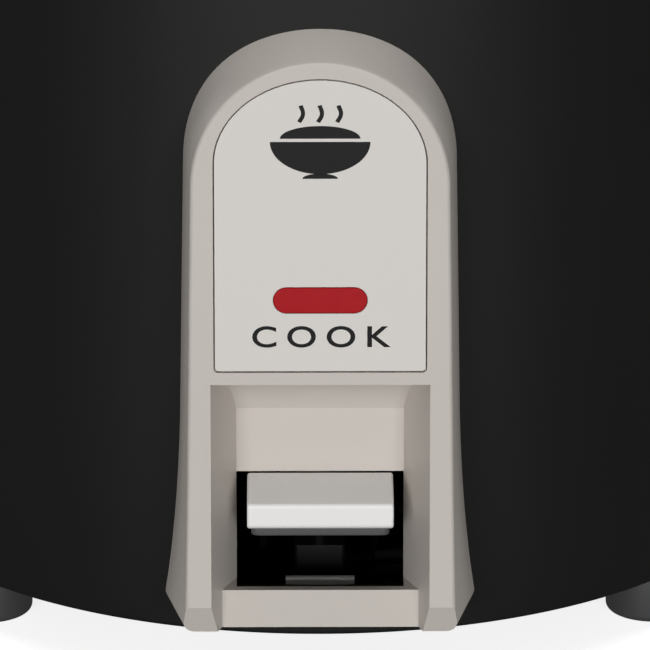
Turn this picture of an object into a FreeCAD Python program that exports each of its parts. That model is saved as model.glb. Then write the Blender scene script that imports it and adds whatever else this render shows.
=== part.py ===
"""Small electric rice cooker: a painted steel can on four feet, with a front switch housing, two side
handles, a rear power inlet, a heater and magnetic thermostat inside, a lift-out pan and a glass lid.

Frame: +Z up, the front faces -Y, the origin is on the table below the can's axis. Millimetres.
"""

import FreeCAD
import Part

import math
import os

V = FreeCAD.Vector

# ---- driving dimensions -------------------------------------------------------------------------

# Painted can
can_radius = 84.0
can_foot_radius = 82.5
can_bottom_z = 10.5
can_tuck_z = 62.0
can_top_z = 143.0
can_sheet = 0.6
can_lip_radius = 77.5
can_edge_round = 0.9
can_flange_radius = 80.0

# Clearances
seat_gap = 0.15
slide_gap = 0.3
screw_gap = 0.15
pin_gap = 0.06

# Feet
foot_x = 60.3
foot_y = 42.4
foot_radius = 8.3
foot_top_radius = 8.4
foot_boss_radius = 3.4
foot_edge_round = 1.2
foot_counterbore = 4.0
foot_seat_z = 5.0

# Base plate
plate_sheet = 0.8
plate_rim_height = 5.0
vent_slot_length = 18.0
vent_slot_width = 3.0
vent_slot_pitch = 7.0
vent_slot_start = 33.0

# Top ring and inner liner
ring_sheet = 1.0
ring_overhang = 1.0
ring_bead = 1.1
liner_radius = 73.5
liner_sheet = 0.5
liner_floor_z = 38.0
liner_floor_hole = 50.0
support_ring = 62.0
support_angles = (0, 120, 240)

# Heater plate
heater_radius = 62.0
heater_thickness = 10.0
heater_top_z = 50.0
heater_hole = 15.5
heater_shoulder = 6.0
element_ring_radius = 38.0
element_radius = 4.0
element_gap_angle = 50.0
terminal_radius = 1.6
terminal_drop = 9.0
spacer_ring = 56.0
spacer_angles = (90, 210, 330)

# Pan
pan_wall = 1.3
pan_radius = 71.0
pan_corner = 13.0
pan_flange_z = 145.6
pan_flange_radius = 80.5

# Lid
lid_rim_radius = 81.0
lid_rim_width = 5.2
glass_radius = 79.3
glass_thickness = 3.6
glass_rise = 14.0
vent_offset = 46.0
vent_radius = 5.6
vent_bore = 2.2
knob_radius = 23.0
knob_top_z = 200.0
knob_cap_height = 17.0
knob_neck_radius = 10.5
skirt_radius = 17.0
skirt_height = 5.0
knob_bolt_radius = 2.0
knob_crown_radius = 15.0
knob_crown_drop = 1.3

# Side handles
handle_reach = 116.0
handle_top_z = 131.0
handle_base_z = 107.0
handle_lip_z = 116.0
handle_wall = 4.5
handle_pad = 3.6
handle_half_width = 38.0
handle_end_half_width = 33.0
handle_bow = 15.0
handle_corner = 7.0
handle_screw_y = 20.0
handle_screw_z = 113.0

# Front switch housing, in its own leaning frame: x across, y into the can, z up the face
front_reach = 97.0
housing_bottom_z = 15.85
face_lean = 4.0
housing_depth = 24.0
housing_wall = 2.2
face_wall = 3.0
face_half_bottom = 23.2
face_half_spring = 22.0
face_spring = 79.27
face_top = 101.32
face_edge_round = 0.8
back_half_bottom = 28.2
back_half_mid = 26.2
back_half_knee = 25.3
back_half_spring = 25.1
back_spring = 87.26
back_top = 121.96
back_rise = 1.25
flare_mid = 20.0
flare_knee = 36.0
rail_corner = 2.2
rail_chamfer_depth = 3.2
rail_chamfer_height = 5.4

# Finger recess and lever slot in the housing
recess_half_mouth = 18.76
recess_half_back = 14.5
recess_depth = 12.6
recess_top = 45.18
recess_cove_end = 37.6
crossbar_depth = 5.3
crossbar_top = 6.97
crossbar_wall = 2.2
slot_top = 26.27
slot_floor = 2.0
can_window_half = 19.0
can_window_bottom = 20.0
can_window_top = 58.0
window_gap = 0.8

# Name plate and indicator
label_half_width = 17.98
label_bottom = 47.56
label_spring = 83.81
label_top = 98.33
label_thickness = 1.1
label_gap = 0.22
label_corner = 0.7
lens_width = 16.0
lens_height = 4.48
lens_centre = 60.04
lens_flange = 1.6
lens_flange_thickness = 1.2
lamp_radius = 1.9
lamp_length = 12.0

# Housing screws
boss_radius = 3.0
boss_high = (9.0, 90.5)
boss_low = (12.5, 51.5)
screw_radius = 1.2
screw_head_radius = 2.7
screw_head_height = 1.8

# Cooking lever
pivot_y = -40.0
pivot_z = 22.0
pivot_radius = 2.0
lever_half_width = 12.6
lever_tip_y = -94.5
lever_depth = 11.0
insert_half_width = 11.9
insert_setback = 2.3
insert_bottom_z = 32.8
insert_top_z = 34.35
arm_half_width = 6.0
arm_thickness = 1.6
arm_low_z = 23.2
arm_high_z = 37.6
arm_bend_low_y = -46.0
arm_bend_high_y = -83.3
arm_tip_y = -90.5
arm_inner_y = 1.4
barrel_radius = 3.6
barrel_half = 6.4
ear_half = 9.5
ear_sheet = 1.2
guard_half_width = 6.0
guard_top_z = 20.5
guard_foot_length = 10.0

# Thermostat on the can's axis
cap_radius = 14.0
cap_wall = 0.8
cap_skirt_z = 37.0
ferrite_radius = 11.0
ferrite_bore = 6.0
ferrite_bottom_z = 44.4
magnet_radius = 9.5
magnet_bottom_z = 34.0
magnet_top_z = 37.2
rod_radius = 2.0
rod_gap = 0.45
bracket_plate_z = 31.5
bracket_sheet = 1.0
bracket_ring = 22.5
bracket_angles = (0, 180)

# Contact switch
switch_y = -60.0
switch_half_x = 4.5
switch_half_y = 7.0
switch_top_z = 21.5
plunger_radius = 1.5
plunger_bottom_z = 17.6

# Rear inlet
inlet_reach = 97.0
inlet_half_width = 17.0
inlet_bottom_z = 15.0
inlet_top_z = 44.0
inlet_depth = 22.0
inlet_screw_x = 13.0
inlet_screw_z = 48.0
inlet_round = 4.0
socket_half_width = 12.0
socket_half_height = 8.5
socket_depth = 17.0
contact_radius = 2.0
contact_spacing = 12.7

# Thermal fuse
fuse_centre = (0.0, 24.5)
fuse_radius = 2.0
fuse_half_length = 9.0
fuse_clip_screw = (0.0, 30.0)
clip_sheet = 0.7

# Wiring
lead_radius = 1.1
lamp_lead_radius = 0.7

# ---- sizes that follow ---------------------------------------------------------------------------

tuck_drop = can_tuck_z - can_bottom_z
tuck_inset = can_radius - can_foot_radius
tuck_radius = (tuck_drop**2 + tuck_inset**2) / (2 * tuck_inset)
plate_bottom_z = can_bottom_z + can_sheet
plate_top_z = plate_bottom_z + plate_sheet
ring_bottom_z = can_top_z
ring_top_z = ring_bottom_z + ring_sheet
heater_bottom_z = heater_top_z - heater_thickness
pan_bottom_z = heater_top_z + 0.1
pan_inner_radius = pan_radius - pan_wall
pan_flange_top_z = pan_flange_z + pan_wall
lid_bottom_z = pan_flange_top_z + 0.1
glass_edge_z = lid_bottom_z + 1.0
glass_sphere = (glass_radius**2 + glass_rise**2) / (2 * glass_rise)
glass_centre_z = glass_edge_z + glass_rise - glass_sphere
skirt_bottom_z = glass_edge_z + glass_rise + glass_thickness + 0.1
skirt_top_z = skirt_bottom_z + skirt_height
knob_cap_bottom_z = knob_top_z - knob_cap_height
arm_top_low_z = arm_low_z + arm_thickness / 2
rod_bottom_z = arm_top_low_z + rod_gap
foot_places = [(sx * foot_x, sy * foot_y) for sy in (-1, 1) for sx in (-1, 1)]
face_place = FreeCAD.Placement(V(0, -front_reach, housing_bottom_z), FreeCAD.Rotation(V(1, 0, 0), -face_lean))


# ---- shared shapes -------------------------------------------------------------------------------


def save(name, *solids):
    """One node: one STEP file holding one solid or a group of separate solids."""
    shape = solids[0] if len(solids) == 1 else Part.makeCompound(list(solids))
    shape.exportStep("parts/" + name + ".step")
    count = len(shape.Solids)
    print(f"{name}: {count} solid(s), {shape.Volume / 1000:.2f} cm3, valid {shape.isValid()}")


def one(shape):
    """The single solid of a shape."""
    return shape.Solids[0] if shape.Solids else shape


def block(x0, x1, y0, y1, z0, z1):
    return Part.makeBox(x1 - x0, y1 - y0, z1 - z0, V(x0, y0, z0))


def rod(radius, start, end):
    """A cylinder from one point to another."""
    a, b = V(*start), V(*end)
    return Part.makeCylinder(radius, (b - a).Length, a, b - a)


def tube(outer, inner, z0, z1, x=0.0, y=0.0):
    solid = rod(outer, (x, y, z0), (x, y, z1))
    return solid.cut(rod(inner, (x, y, z0 - 1), (x, y, z1 + 1)))


def line(a, b):
    return Part.LineSegment(a, b).toShape()


def arc(a, b, c):
    return Part.Arc(a, b, c).toShape()


def face_of(edges):
    return Part.Face(Part.Wire(edges))


def turned(corners):
    """A closed outline of (radius, height) corners, turned about the can's axis."""
    points = [V(r, 0, z) for r, z in corners]
    edges = [line(a, b) for a, b in zip(points, points[1:] + points[:1])]
    return one(face_of(edges).revolve(V(0, 0, 0), V(0, 0, 1), 360))


def turned_edges(edges):
    return one(face_of(edges).revolve(V(0, 0, 0), V(0, 0, 1), 360))


def in_face(shape):
    """Carries a shape from the housing's leaning frame to its place on the can."""
    placed = shape.copy()
    placed.Placement = face_place.multiply(placed.Placement)
    return placed


def around(shape, angle):
    """A copy turned about the can's axis."""
    turned_copy = shape.copy()
    turned_copy.rotate(V(0, 0, 0), V(0, 0, 1), angle)
    return turned_copy


def is_rim(edge, z):
    """True for a long closed edge lying at one height."""
    box = edge.BoundBox
    return abs(box.ZMin - z) < 0.01 and abs(box.ZMax - z) < 0.01 and edge.Length > 10


def rounded(shape, radius, wanted):
    """Fillets the edges that wanted() accepts."""
    edges = [e for e in shape.Edges if wanted(e)]
    return one(shape.makeFillet(radius, edges))


def coil(radius, wire, z0, z1, turns):
    """A round-wire compression spring between two heights."""
    height = z1 - z0 - 2 * wire
    spine = Part.makeHelix(height / turns, height, radius)
    spine.translate(V(0, 0, z0 + wire))
    section = Part.Wire(Part.makeCircle(wire, V(radius, 0, z0 + wire), V(0, 1, 0)))
    return one(Part.Wire(spine.Edges).makePipeShell([section], True, True))


def screw_along(head, tip, shank=screw_radius, cap=screw_head_radius, height=screw_head_height):
    """A pan-head screw: the underside of its head is at head, and its shank ends at tip."""
    a, b = V(*head), V(*tip)
    away = (a - b).normalize()
    shank_solid = Part.makeCylinder(shank, (b - a).Length, a, b - a)
    dome = Part.makeCylinder(cap, height, a, away)
    top = a + away * height
    rim = [e for e in dome.Edges if e.Length > 1 and (e.CenterOfMass - top).Length < 0.01]
    dome = dome.makeFillet(height * 0.45, rim)
    slot = block(-0.35, 0.35, -cap * 0.6, cap * 0.6, height - 0.7, height + 1)
    cross = slot.fuse(block(-cap * 0.6, cap * 0.6, -0.35, 0.35, height - 0.7, height + 1))
    cross.Placement = FreeCAD.Placement(a, FreeCAD.Rotation(V(0, 0, 1), away))
    return one(dome.fuse(shank_solid).removeSplitter().cut(cross))


def can_edge_radius(offset, z):
    """The can's outer radius at a height, moved out by offset."""
    if z >= can_tuck_z:
        return can_radius + offset
    reach = tuck_radius + offset
    return can_radius - tuck_radius + math.sqrt(reach**2 - (can_tuck_z - z) ** 2)


def can_body(offset, z0, z1):
    """The solid inside the can's wall, moved out by offset, between two heights."""
    mid_z = (z0 + can_tuck_z) / 2
    low = V(can_edge_radius(offset, z0), 0, z0)
    mid = V(can_edge_radius(offset, mid_z), 0, mid_z)
    tuck = V(can_radius + offset, 0, can_tuck_z)
    high = V(can_radius + offset, 0, z1)
    edges = [
        line(V(0, 0, z0), low),
        arc(low, mid, tuck),
        line(tuck, high),
        line(high, V(0, 0, z1)),
        line(V(0, 0, z1), V(0, 0, z0)),
    ]
    return turned_edges(edges)


def pill_prism(width, height, y0, y1, centre):
    """A bar with round ends along x, from depth y0 to y1, centred at a height."""
    r = height / 2
    half = width / 2 - r
    a, b = V(-half, y0, centre + r), V(half, y0, centre + r)
    c, d = V(half, y0, centre - r), V(-half, y0, centre - r)
    right, left = V(half + r, y0, centre), V(-half - r, y0, centre)
    edges = [line(a, b), arc(b, right, c), line(c, d), arc(d, left, a)]
    return face_of(edges).extrude(V(0, y1 - y0, 0))


# ---- can, base and feet --------------------------------------------------------------------------


def screw_spots():
    """Where the housing screws cross the can's wall: x and height in the housing's frame."""
    return [(s * x, up) for x, up in (boss_high, boss_low) for s in (-1, 1)]


def boss_axis(x, up):
    """A housing boss's axis from the face inwards: a point on the face and one inside the can."""
    start = face_place.multVec(V(x, 0, up))
    return start, V(start.x, -can_radius + 12, start.z)


def body_shell():
    shell = can_body(0, can_bottom_z, can_top_z)
    shell = rounded(shell, can_edge_round, lambda e: is_rim(e, can_bottom_z))
    shell = shell.cut(can_body(-can_sheet, can_bottom_z + can_sheet, can_top_z - can_sheet))
    shell = shell.cut(rod(can_lip_radius, (0, 0, can_bottom_z - 1), (0, 0, can_bottom_z + 2)))
    shell = shell.cut(rod(can_flange_radius, (0, 0, can_top_z - 2), (0, 0, can_top_z + 1)))
    window = block(-can_window_half, can_window_half, -can_radius - 2, -40, can_window_bottom, can_window_top)
    shell = shell.cut(window)
    lamp_z = face_place.multVec(V(0, 0, lens_centre)).z
    shell = shell.cut(block(-7, 7, -can_radius - 2, -40, lamp_z - 4, lamp_z + 4))
    for x, up in screw_spots():
        start, end = boss_axis(x, up)
        hole = rod(screw_radius + screw_gap, (start.x, -can_radius - 5, start.z), (end.x, end.y, end.z))
        shell = shell.cut(hole)
    half = inlet_half_width - 2
    shell = shell.cut(block(-half, half, 40, can_radius + 2, inlet_bottom_z + 2, inlet_top_z - 2))
    for x in (-inlet_screw_x, inlet_screw_x):
        shell = shell.cut(rod(screw_radius + screw_gap, (x, 60, inlet_screw_z), (x, 100, inlet_screw_z)))
    for s in (-1, 1):
        for y in (-handle_screw_y, handle_screw_y):
            hole = rod(screw_radius + screw_gap, (s * 60, y, handle_screw_z), (s * 100, y, handle_screw_z))
            shell = shell.cut(hole)
    return one(shell)


def bottom_plate():
    rim = can_edge_radius(-can_sheet, plate_bottom_z) - slide_gap
    plate = rod(rim, (0, 0, plate_bottom_z), (0, 0, plate_top_z))
    plate = plate.fuse(tube(rim, rim - plate_sheet, plate_bottom_z, plate_bottom_z + plate_rim_height))
    half = vent_slot_length / 2
    for row in range(3):
        y = vent_slot_start + vent_slot_pitch * row
        slot = block(-half, half, y, y + vent_slot_width, plate_bottom_z - 1, plate_top_z + 1)
        for angle in (45, 135, 225, 315):
            plate = plate.cut(around(slot, angle))
    for x, y in foot_places:
        plate = plate.cut(rod(screw_radius + screw_gap, (x, y, 0), (x, y, 30)))
    for angle in support_angles:
        x, y = polar(support_ring, angle)
        plate = plate.cut(rod(screw_radius + screw_gap, (x, y, 0), (x, y, 30)))
    return one(plate)


def foot(x, y):
    """A round foot under the can's edge; a small boss on it passes inside the can's lip to the plate."""
    low = V(foot_radius - foot_edge_round, 0, 0)
    edge_mid = V(foot_radius - foot_edge_round * 0.293, 0, foot_edge_round * 0.293)
    edge_top = V(foot_radius, 0, foot_edge_round)
    shoulder_z = can_bottom_z - seat_gap
    top = V(foot_top_radius, 0, shoulder_z)
    boss_low = V(foot_boss_radius, 0, shoulder_z)
    boss_high = V(foot_boss_radius, 0, plate_bottom_z)
    edges = [
        line(V(0, 0, 0), low),
        arc(low, edge_mid, edge_top),
        line(edge_top, top),
        line(top, boss_low),
        line(boss_low, boss_high),
        line(boss_high, V(0, 0, plate_bottom_z)),
        line(V(0, 0, plate_bottom_z), V(0, 0, 0)),
    ]
    solid = turned_edges(edges)
    counterbore = rod(foot_counterbore, (0, 0, -1), (0, 0, foot_seat_z))
    solid = solid.cut(counterbore).cut(rod(screw_radius + screw_gap, (0, 0, 0), (0, 0, 20)))
    solid.translate(V(x, y, 0))
    return one(solid)


def foot_screw(x, y):
    return screw_along((x, y, foot_seat_z), (x, y, plate_top_z + 3))


def foot_nut(x, y):
    nut = tube(3.0, screw_radius + 0.02, plate_top_z, plate_top_z + 2.4, x, y)
    return one(nut)


def polar(radius, angle):
    a = math.radians(angle)
    return radius * math.cos(a), radius * math.sin(a)


def liner_support(angle):
    x, y = polar(support_ring, angle)
    return one(tube(3.6, 1.22, plate_top_z, liner_floor_z, x, y))


def base_screw(angle):
    x, y = polar(support_ring, angle)
    return screw_along((x, y, plate_bottom_z), (x, y, plate_top_z + 8))


# ---- top ring, liner, heater ---------------------------------------------------------------------


def top_ring():
    outer = can_radius + ring_overhang
    inner = liner_radius + liner_sheet - 0.4
    flat = tube(outer - ring_bead, inner, ring_bottom_z, ring_top_z)
    bead = Part.makeTorus(outer - ring_bead, ring_bead, V(0, 0, ring_bottom_z + ring_bead))
    lip = block(-200, 200, -200, 200, ring_bottom_z - 5, ring_bottom_z)
    return one(flat.fuse(bead).cut(lip).removeSplitter())


def inner_liner():
    wall = tube(liner_radius + liner_sheet, liner_radius, liner_floor_z, can_top_z)
    floor = tube(liner_radius + liner_sheet, liner_floor_hole, liner_floor_z, liner_floor_z + liner_sheet)
    flange_out = can_flange_radius - slide_gap
    flange = tube(flange_out, liner_radius, can_top_z - liner_sheet, can_top_z)
    liner = wall.fuse([floor, flange])
    for angle in spacer_angles:
        x, y = polar(spacer_ring, angle)
        liner = liner.cut(rod(screw_radius + screw_gap, (x, y, 30), (x, y, 40)))
    return one(liner.removeSplitter())


def heater_plate():
    r, z0, z1 = heater_radius, heater_bottom_z, heater_top_z
    s = heater_shoulder
    q = s * (1 - math.sqrt(0.5))
    edges = [
        line(V(heater_hole, 0, z0), V(r, 0, z0)),
        line(V(r, 0, z0), V(r, 0, z1 - s)),
        arc(V(r, 0, z1 - s), V(r - q, 0, z1 - q), V(r - s, 0, z1)),
        line(V(r - s, 0, z1), V(heater_hole, 0, z1)),
        line(V(heater_hole, 0, z1), V(heater_hole, 0, z0)),
    ]
    plate = turned_edges(edges)
    groove = Part.makeTorus(element_ring_radius, element_radius + 0.1, V(0, 0, z0))
    plate = plate.cut(groove)
    for angle in spacer_angles:
        x, y = polar(spacer_ring, angle)
        plate = plate.cut(rod(screw_radius + 0.02, (x, y, z0 - 1), (x, y, z0 + 6)))
    for angle in bracket_angles:
        x, y = polar(bracket_ring, angle)
        plate = plate.cut(rod(screw_radius + 0.02, (x, y, z0 - 1), (x, y, z0 + 5)))
    x, y = fuse_clip_screw
    plate = plate.cut(rod(screw_radius + 0.02, (x, y, z0 - 1), (x, y, z0 + 5)))
    return one(plate)


def heating_element():
    sweep = 360 - element_gap_angle
    ring = Part.makeTorus(element_ring_radius, element_radius, V(0, 0, 0), V(0, 0, 1), 0, 360, sweep)
    ring.rotate(V(0, 0, 0), V(0, 0, 1), 90 + element_gap_angle / 2)
    ring.translate(V(0, 0, heater_bottom_z))
    ends = []
    for side in (-1, 1):
        angle = 90 + side * (element_gap_angle / 2 + 6)
        x, y = polar(element_ring_radius, angle)
        ends.append(rod(terminal_radius, (x, y, heater_bottom_z), (x, y, heater_bottom_z - terminal_drop)))
    return one(ring.fuse(ends).removeSplitter())


def heater_spacer(angle):
    x, y = polar(spacer_ring, angle)
    return one(tube(3.2, screw_radius + screw_gap, liner_floor_z + liner_sheet, heater_bottom_z, x, y))


def heater_screw(angle):
    x, y = polar(spacer_ring, angle)
    return screw_along((x, y, liner_floor_z), (x, y, heater_bottom_z + 5))


# ---- thermostat ----------------------------------------------------------------------------------


def sensor_cap():
    top = heater_top_z
    cap = rod(cap_radius, (0, 0, cap_skirt_z), (0, 0, top))
    cap = cap.cut(rod(cap_radius - cap_wall, (0, 0, cap_skirt_z - 1), (0, 0, top - cap_wall)))
    return rounded(one(cap), 0.5, lambda e: abs(e.CenterOfMass.z - top) < 0.01 and e.Length > 10)


def sensor_ferrite():
    return one(tube(ferrite_radius, ferrite_bore, ferrite_bottom_z, heater_top_z - cap_wall))


def sensor_bracket():
    z0, z1 = bracket_plate_z, bracket_plate_z + bracket_sheet
    reach = bracket_ring + 3.5
    plate = rod(12.9, (0, 0, z0), (0, 0, z1))
    arms = block(-reach + 6.5, reach - 6.5, -4, 4, z0, z1)
    bracket = plate.fuse(arms)
    for s in (-1, 1):
        riser_in, riser_out = bracket_ring - 4.0, bracket_ring - 3.0
        x0, x1 = sorted((s * riser_in, s * riser_out))
        bracket = bracket.fuse(block(x0, x1, -4, 4, z0, heater_bottom_z))
        x0, x1 = sorted((s * riser_in, s * reach))
        bracket = bracket.fuse(block(x0, x1, -4, 4, heater_bottom_z - bracket_sheet, heater_bottom_z))
        hole = rod(screw_radius + screw_gap, (s * bracket_ring, 0, 30), (s * bracket_ring, 0, 45))
        bracket = bracket.cut(hole)
    bracket = bracket.cut(rod(rod_radius + slide_gap, (0, 0, 20), (0, 0, 45)))
    return one(bracket.removeSplitter())


def bracket_screw(angle):
    x, y = polar(bracket_ring, angle)
    return screw_along((x, y, heater_bottom_z - bracket_sheet), (x, y, heater_bottom_z + 4))


def magnet():
    return one(tube(magnet_radius - 0.8, 3.0, magnet_bottom_z, magnet_top_z))


def magnet_holder():
    floor_z = magnet_bottom_z - 0.8
    cup = rod(magnet_radius, (0, 0, floor_z), (0, 0, magnet_top_z - 0.4))
    cup = cup.cut(rod(magnet_radius - 0.75, (0, 0, magnet_bottom_z), (0, 0, magnet_top_z + 1)))
    stem = rod(rod_radius, (0, 0, rod_bottom_z), (0, 0, floor_z + 0.2))
    return one(cup.fuse(stem).removeSplitter())


def sensor_spring():
    foot_z = bracket_plate_z + bracket_sheet + 0.05
    return coil(cap_radius - cap_wall - 1.0, 0.5, foot_z, ferrite_bottom_z + 4.7, 5)


def drop_spring():
    return coil(4.6, 0.4, magnet_top_z + 0.05, heater_top_z - cap_wall - 0.05, 6)


# ---- cooking lever -------------------------------------------------------------------------------


def lever_knob():
    """White paddle: a sloping thumb face, an upright front edge and an undercut lip."""
    y0 = lever_tip_y
    rear = y0 + lever_depth
    outline = [
        (rear, 41.25),
        (y0 + 6.5, 40.85),
        (y0 + 0.25, 39.35),
        (y0, 38.9),
        (y0, 35.5),
        (y0 + 0.35, 35.0),
        (y0 + 1.4, 34.5),
        (y0 + 3.5, 34.4),
        (rear, 34.4),
    ]
    points = [V(-lever_half_width, y, z) for y, z in outline]
    edges = [line(a, b) for a, b in zip(points, points[1:] + points[:1])]
    knob = one(face_of(edges).extrude(V(2 * lever_half_width, 0, 0)))
    half = arm_half_width + 0.1
    up = arm_thickness / 2 + 0.1
    socket = block(-half, half, arm_tip_y - 0.1, y0 + 20, arm_high_z - up, arm_high_z + up)
    knob = rounded(knob, 0.45, lambda e: on_knob_side(e, rear))
    return one(knob.cut(socket))


def lever_insert():
    """Dark stiffening pad pressed into the paddle's underside, set back behind its lip."""
    y0, y1 = lever_tip_y + insert_setback, lever_tip_y + lever_depth - 0.2
    pad = block(-insert_half_width, insert_half_width, y0, y1, insert_bottom_z, insert_top_z)
    middle_z = (insert_bottom_z + insert_top_z) / 2

    def front_corner(edge):
        return abs(edge.CenterOfMass.z - middle_z) < 0.01 and edge.CenterOfMass.y < y0 + 0.1

    return rounded(one(pad), 1.2, front_corner)


def on_knob_side(edge, rear):
    """True for the edges round the knob's two ends, but not the rear ones."""
    middle = edge.CenterOfMass
    return abs(abs(middle.x) - lever_half_width) < 0.01 and middle.y < rear - 0.01


def lever_arm():
    h = arm_thickness / 2
    centre = [
        (arm_tip_y, arm_high_z),
        (arm_bend_high_y, arm_high_z),
        (arm_bend_low_y, arm_low_z),
        (arm_inner_y, arm_low_z),
    ]
    upper = [V(-arm_half_width, y, z + h) for y, z in centre]
    lower = [V(-arm_half_width, y, z - h) for y, z in reversed(centre)]
    points = upper + lower
    edges = [line(a, b) for a, b in zip(points, points[1:] + points[:1])]
    strip = one(face_of(edges).extrude(V(2 * arm_half_width, 0, 0)))
    barrel = rod(barrel_radius, (-barrel_half, pivot_y, pivot_z), (barrel_half, pivot_y, pivot_z))
    bore = rod(pivot_radius + pin_gap, (-20, pivot_y, pivot_z), (20, pivot_y, pivot_z))
    flat = block(-20, 20, pivot_y - 6, pivot_y + 6, arm_low_z + h, arm_low_z + 10)
    arm = strip.fuse(barrel).cut(flat).cut(bore)
    return one(arm.removeSplitter())


def pivot_pin():
    half = ear_half + ear_sheet + 0.8
    pin = rod(pivot_radius, (-half, pivot_y, pivot_z), (half, pivot_y, pivot_z))
    return one(pin)


def pivot_bracket():
    """A bent steel saddle on the base plate, with an ear each side of the arm."""
    y0, y1 = pivot_y - 9, pivot_y + 9
    outer = ear_half + ear_sheet
    base = block(-outer, outer, y0, y1, plate_top_z, plate_top_z + ear_sheet)
    saddle = base
    for s in (-1, 1):
        x0, x1 = sorted((s * ear_half, s * outer))
        ear = block(x0, x1, y0 + 3, y1 - 3, plate_top_z, pivot_z + 5)
        saddle = saddle.fuse(ear)
    saddle = saddle.cut(rod(pivot_radius + 0.02, (-30, pivot_y, pivot_z), (30, pivot_y, pivot_z)))
    return one(saddle.removeSplitter())


def slot_guard():
    """A bent steel tongue on the base plate, just inside its rim, behind the housing's crossbar."""
    rim = can_edge_radius(-can_sheet, plate_bottom_z) - slide_gap - plate_sheet
    y0 = -math.sqrt(rim**2 - guard_half_width**2) + slide_gap
    y1 = y0 + guard_foot_length
    foot_part = block(-guard_half_width, guard_half_width, y0, y1, plate_top_z, plate_top_z + 1.0)
    tongue = block(-guard_half_width, guard_half_width, y0, y0 + 1.0, plate_top_z, guard_top_z)
    return one(foot_part.fuse(tongue).removeSplitter())


def switch_body():
    z0 = plate_top_z
    y0, y1 = switch_y - switch_half_y, switch_y + switch_half_y
    case = block(-switch_half_x, switch_half_x, y0, y1, z0, switch_top_z)
    case = rounded(one(case), 0.8, lambda e: abs(e.CenterOfMass.z - (z0 + switch_top_z) / 2) < 0.01)
    bore = rod(plunger_radius + 0.1, (0, switch_y, z0 + 1.2), (0, switch_y, switch_top_z + 1))
    body = case.cut(bore)
    for dy in (-3.5, 3.5):
        y0, y1 = switch_y + dy - 1.5, switch_y + dy + 1.5
        tab = block(switch_half_x, switch_half_x + 5, y0, y1, z0 + 3, z0 + 3.8)
        body = body.fuse(tab)
    return one(body.removeSplitter())


def plunger_top_z():
    slope = (arm_high_z - arm_low_z) / (arm_bend_low_y - arm_bend_high_y)
    centre = arm_low_z + slope * (arm_bend_low_y - switch_y)
    lean = math.sqrt(1 + slope**2)
    return centre - arm_thickness / 2 * lean - plunger_radius * slope - 0.35


def switch_plunger():
    stem = rod(plunger_radius, (0, switch_y, plunger_bottom_z), (0, switch_y, plunger_top_z()))
    top = plunger_top_z()
    return rounded(one(stem), 0.9, lambda e: abs(e.CenterOfMass.z - top) < 0.01 and e.Length > 5)


# ---- front switch housing ------------------------------------------------------------------------


def outline_at(depth, inset):
    """The housing's outline at a depth behind its face, moved in by inset, as a closed wire."""
    t = depth / housing_depth

    def between(front, back):
        return front + (back - front) * t

    bottom = between(0.0, back_rise) + inset
    w_bottom = between(face_half_bottom, back_half_bottom) - inset
    knee_share = flare_knee / face_spring
    mid_share = flare_mid / face_spring
    front_knee = face_half_bottom + (face_half_spring - face_half_bottom) * knee_share
    front_mid = face_half_bottom + (face_half_spring - face_half_bottom) * mid_share
    w_knee = between(front_knee, back_half_knee) - inset
    w_mid = between(front_mid, back_half_mid) - inset
    w_spring = between(face_half_spring, back_half_spring) - inset
    spring = between(face_spring, back_spring)
    top = between(face_top, back_top) - inset
    c = rail_corner
    q = c * (1 - math.sqrt(0.5))

    def at(x, up):
        return V(x, depth, up)

    edges = [line(at(-w_bottom + c, bottom), at(w_bottom - c, bottom))]
    edges.append(arc(at(w_bottom - c, bottom), at(w_bottom - q, bottom + q), at(w_bottom, bottom + c)))
    edges.append(arc(at(w_bottom, bottom + c), at(w_mid + 0.001, flare_mid), at(w_knee, flare_knee)))
    edges.append(line(at(w_knee, flare_knee), at(w_spring, spring)))
    oval = Part.Ellipse(at(0, top), at(w_spring, spring), at(0, spring))
    edges.append(Part.ArcOfEllipse(oval, -math.pi / 2, math.pi / 2).toShape())
    edges.append(line(at(-w_spring, spring), at(-w_knee, flare_knee)))
    edges.append(arc(at(-w_knee, flare_knee), at(-w_mid - 0.001, flare_mid), at(-w_bottom, bottom + c)))
    edges.append(arc(at(-w_bottom, bottom + c), at(-w_bottom + q, bottom + q), at(-w_bottom + c, bottom)))
    return Part.Wire(edges)


def recess_block(wall):
    """The finger recess as a solid, grown by wall for the skin around it."""
    depth = recess_depth + wall
    top = recess_top + wall
    cove = recess_cove_end + wall
    front = -1.0
    floor = crossbar_top
    run = depth - 1.5
    drop = top - cove
    points = [V(-40, front, top), V(-40, 1.5, top)]
    turn = V(-40, 1.5 + run * 0.62, top - drop * 0.30)
    end = V(-40, depth, cove)
    edges = [line(points[0], points[1]), arc(points[1], turn, end)]
    if wall:
        chain = [end, V(-40, depth, -1), V(-40, front, -1), points[0]]
    else:
        step = [V(-40, depth, floor), V(-40, crossbar_depth, floor), V(-40, crossbar_depth, -2)]
        chain = [end, *step, V(-40, front, -2), points[0]]
    edges += [line(a, b) for a, b in zip(chain, chain[1:])]
    side_profile = one(face_of(edges).extrude(V(80, 0, 0)))
    slope = (recess_half_mouth - recess_half_back) / recess_depth
    grow = wall * math.sqrt(1 + slope**2)
    w_front = recess_half_mouth + slope + grow
    w_back = recess_half_mouth - slope * depth + grow
    plan = [V(-w_front, -1, -3), V(w_front, -1, -3), V(w_back, depth, -3), V(-w_back, depth, -3)]
    plan_edges = [line(a, b) for a, b in zip(plan, plan[1:] + plan[:1])]
    wedge = one(face_of(plan_edges).extrude(V(0, 0, 80)))
    return one(side_profile.common(wedge))


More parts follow.
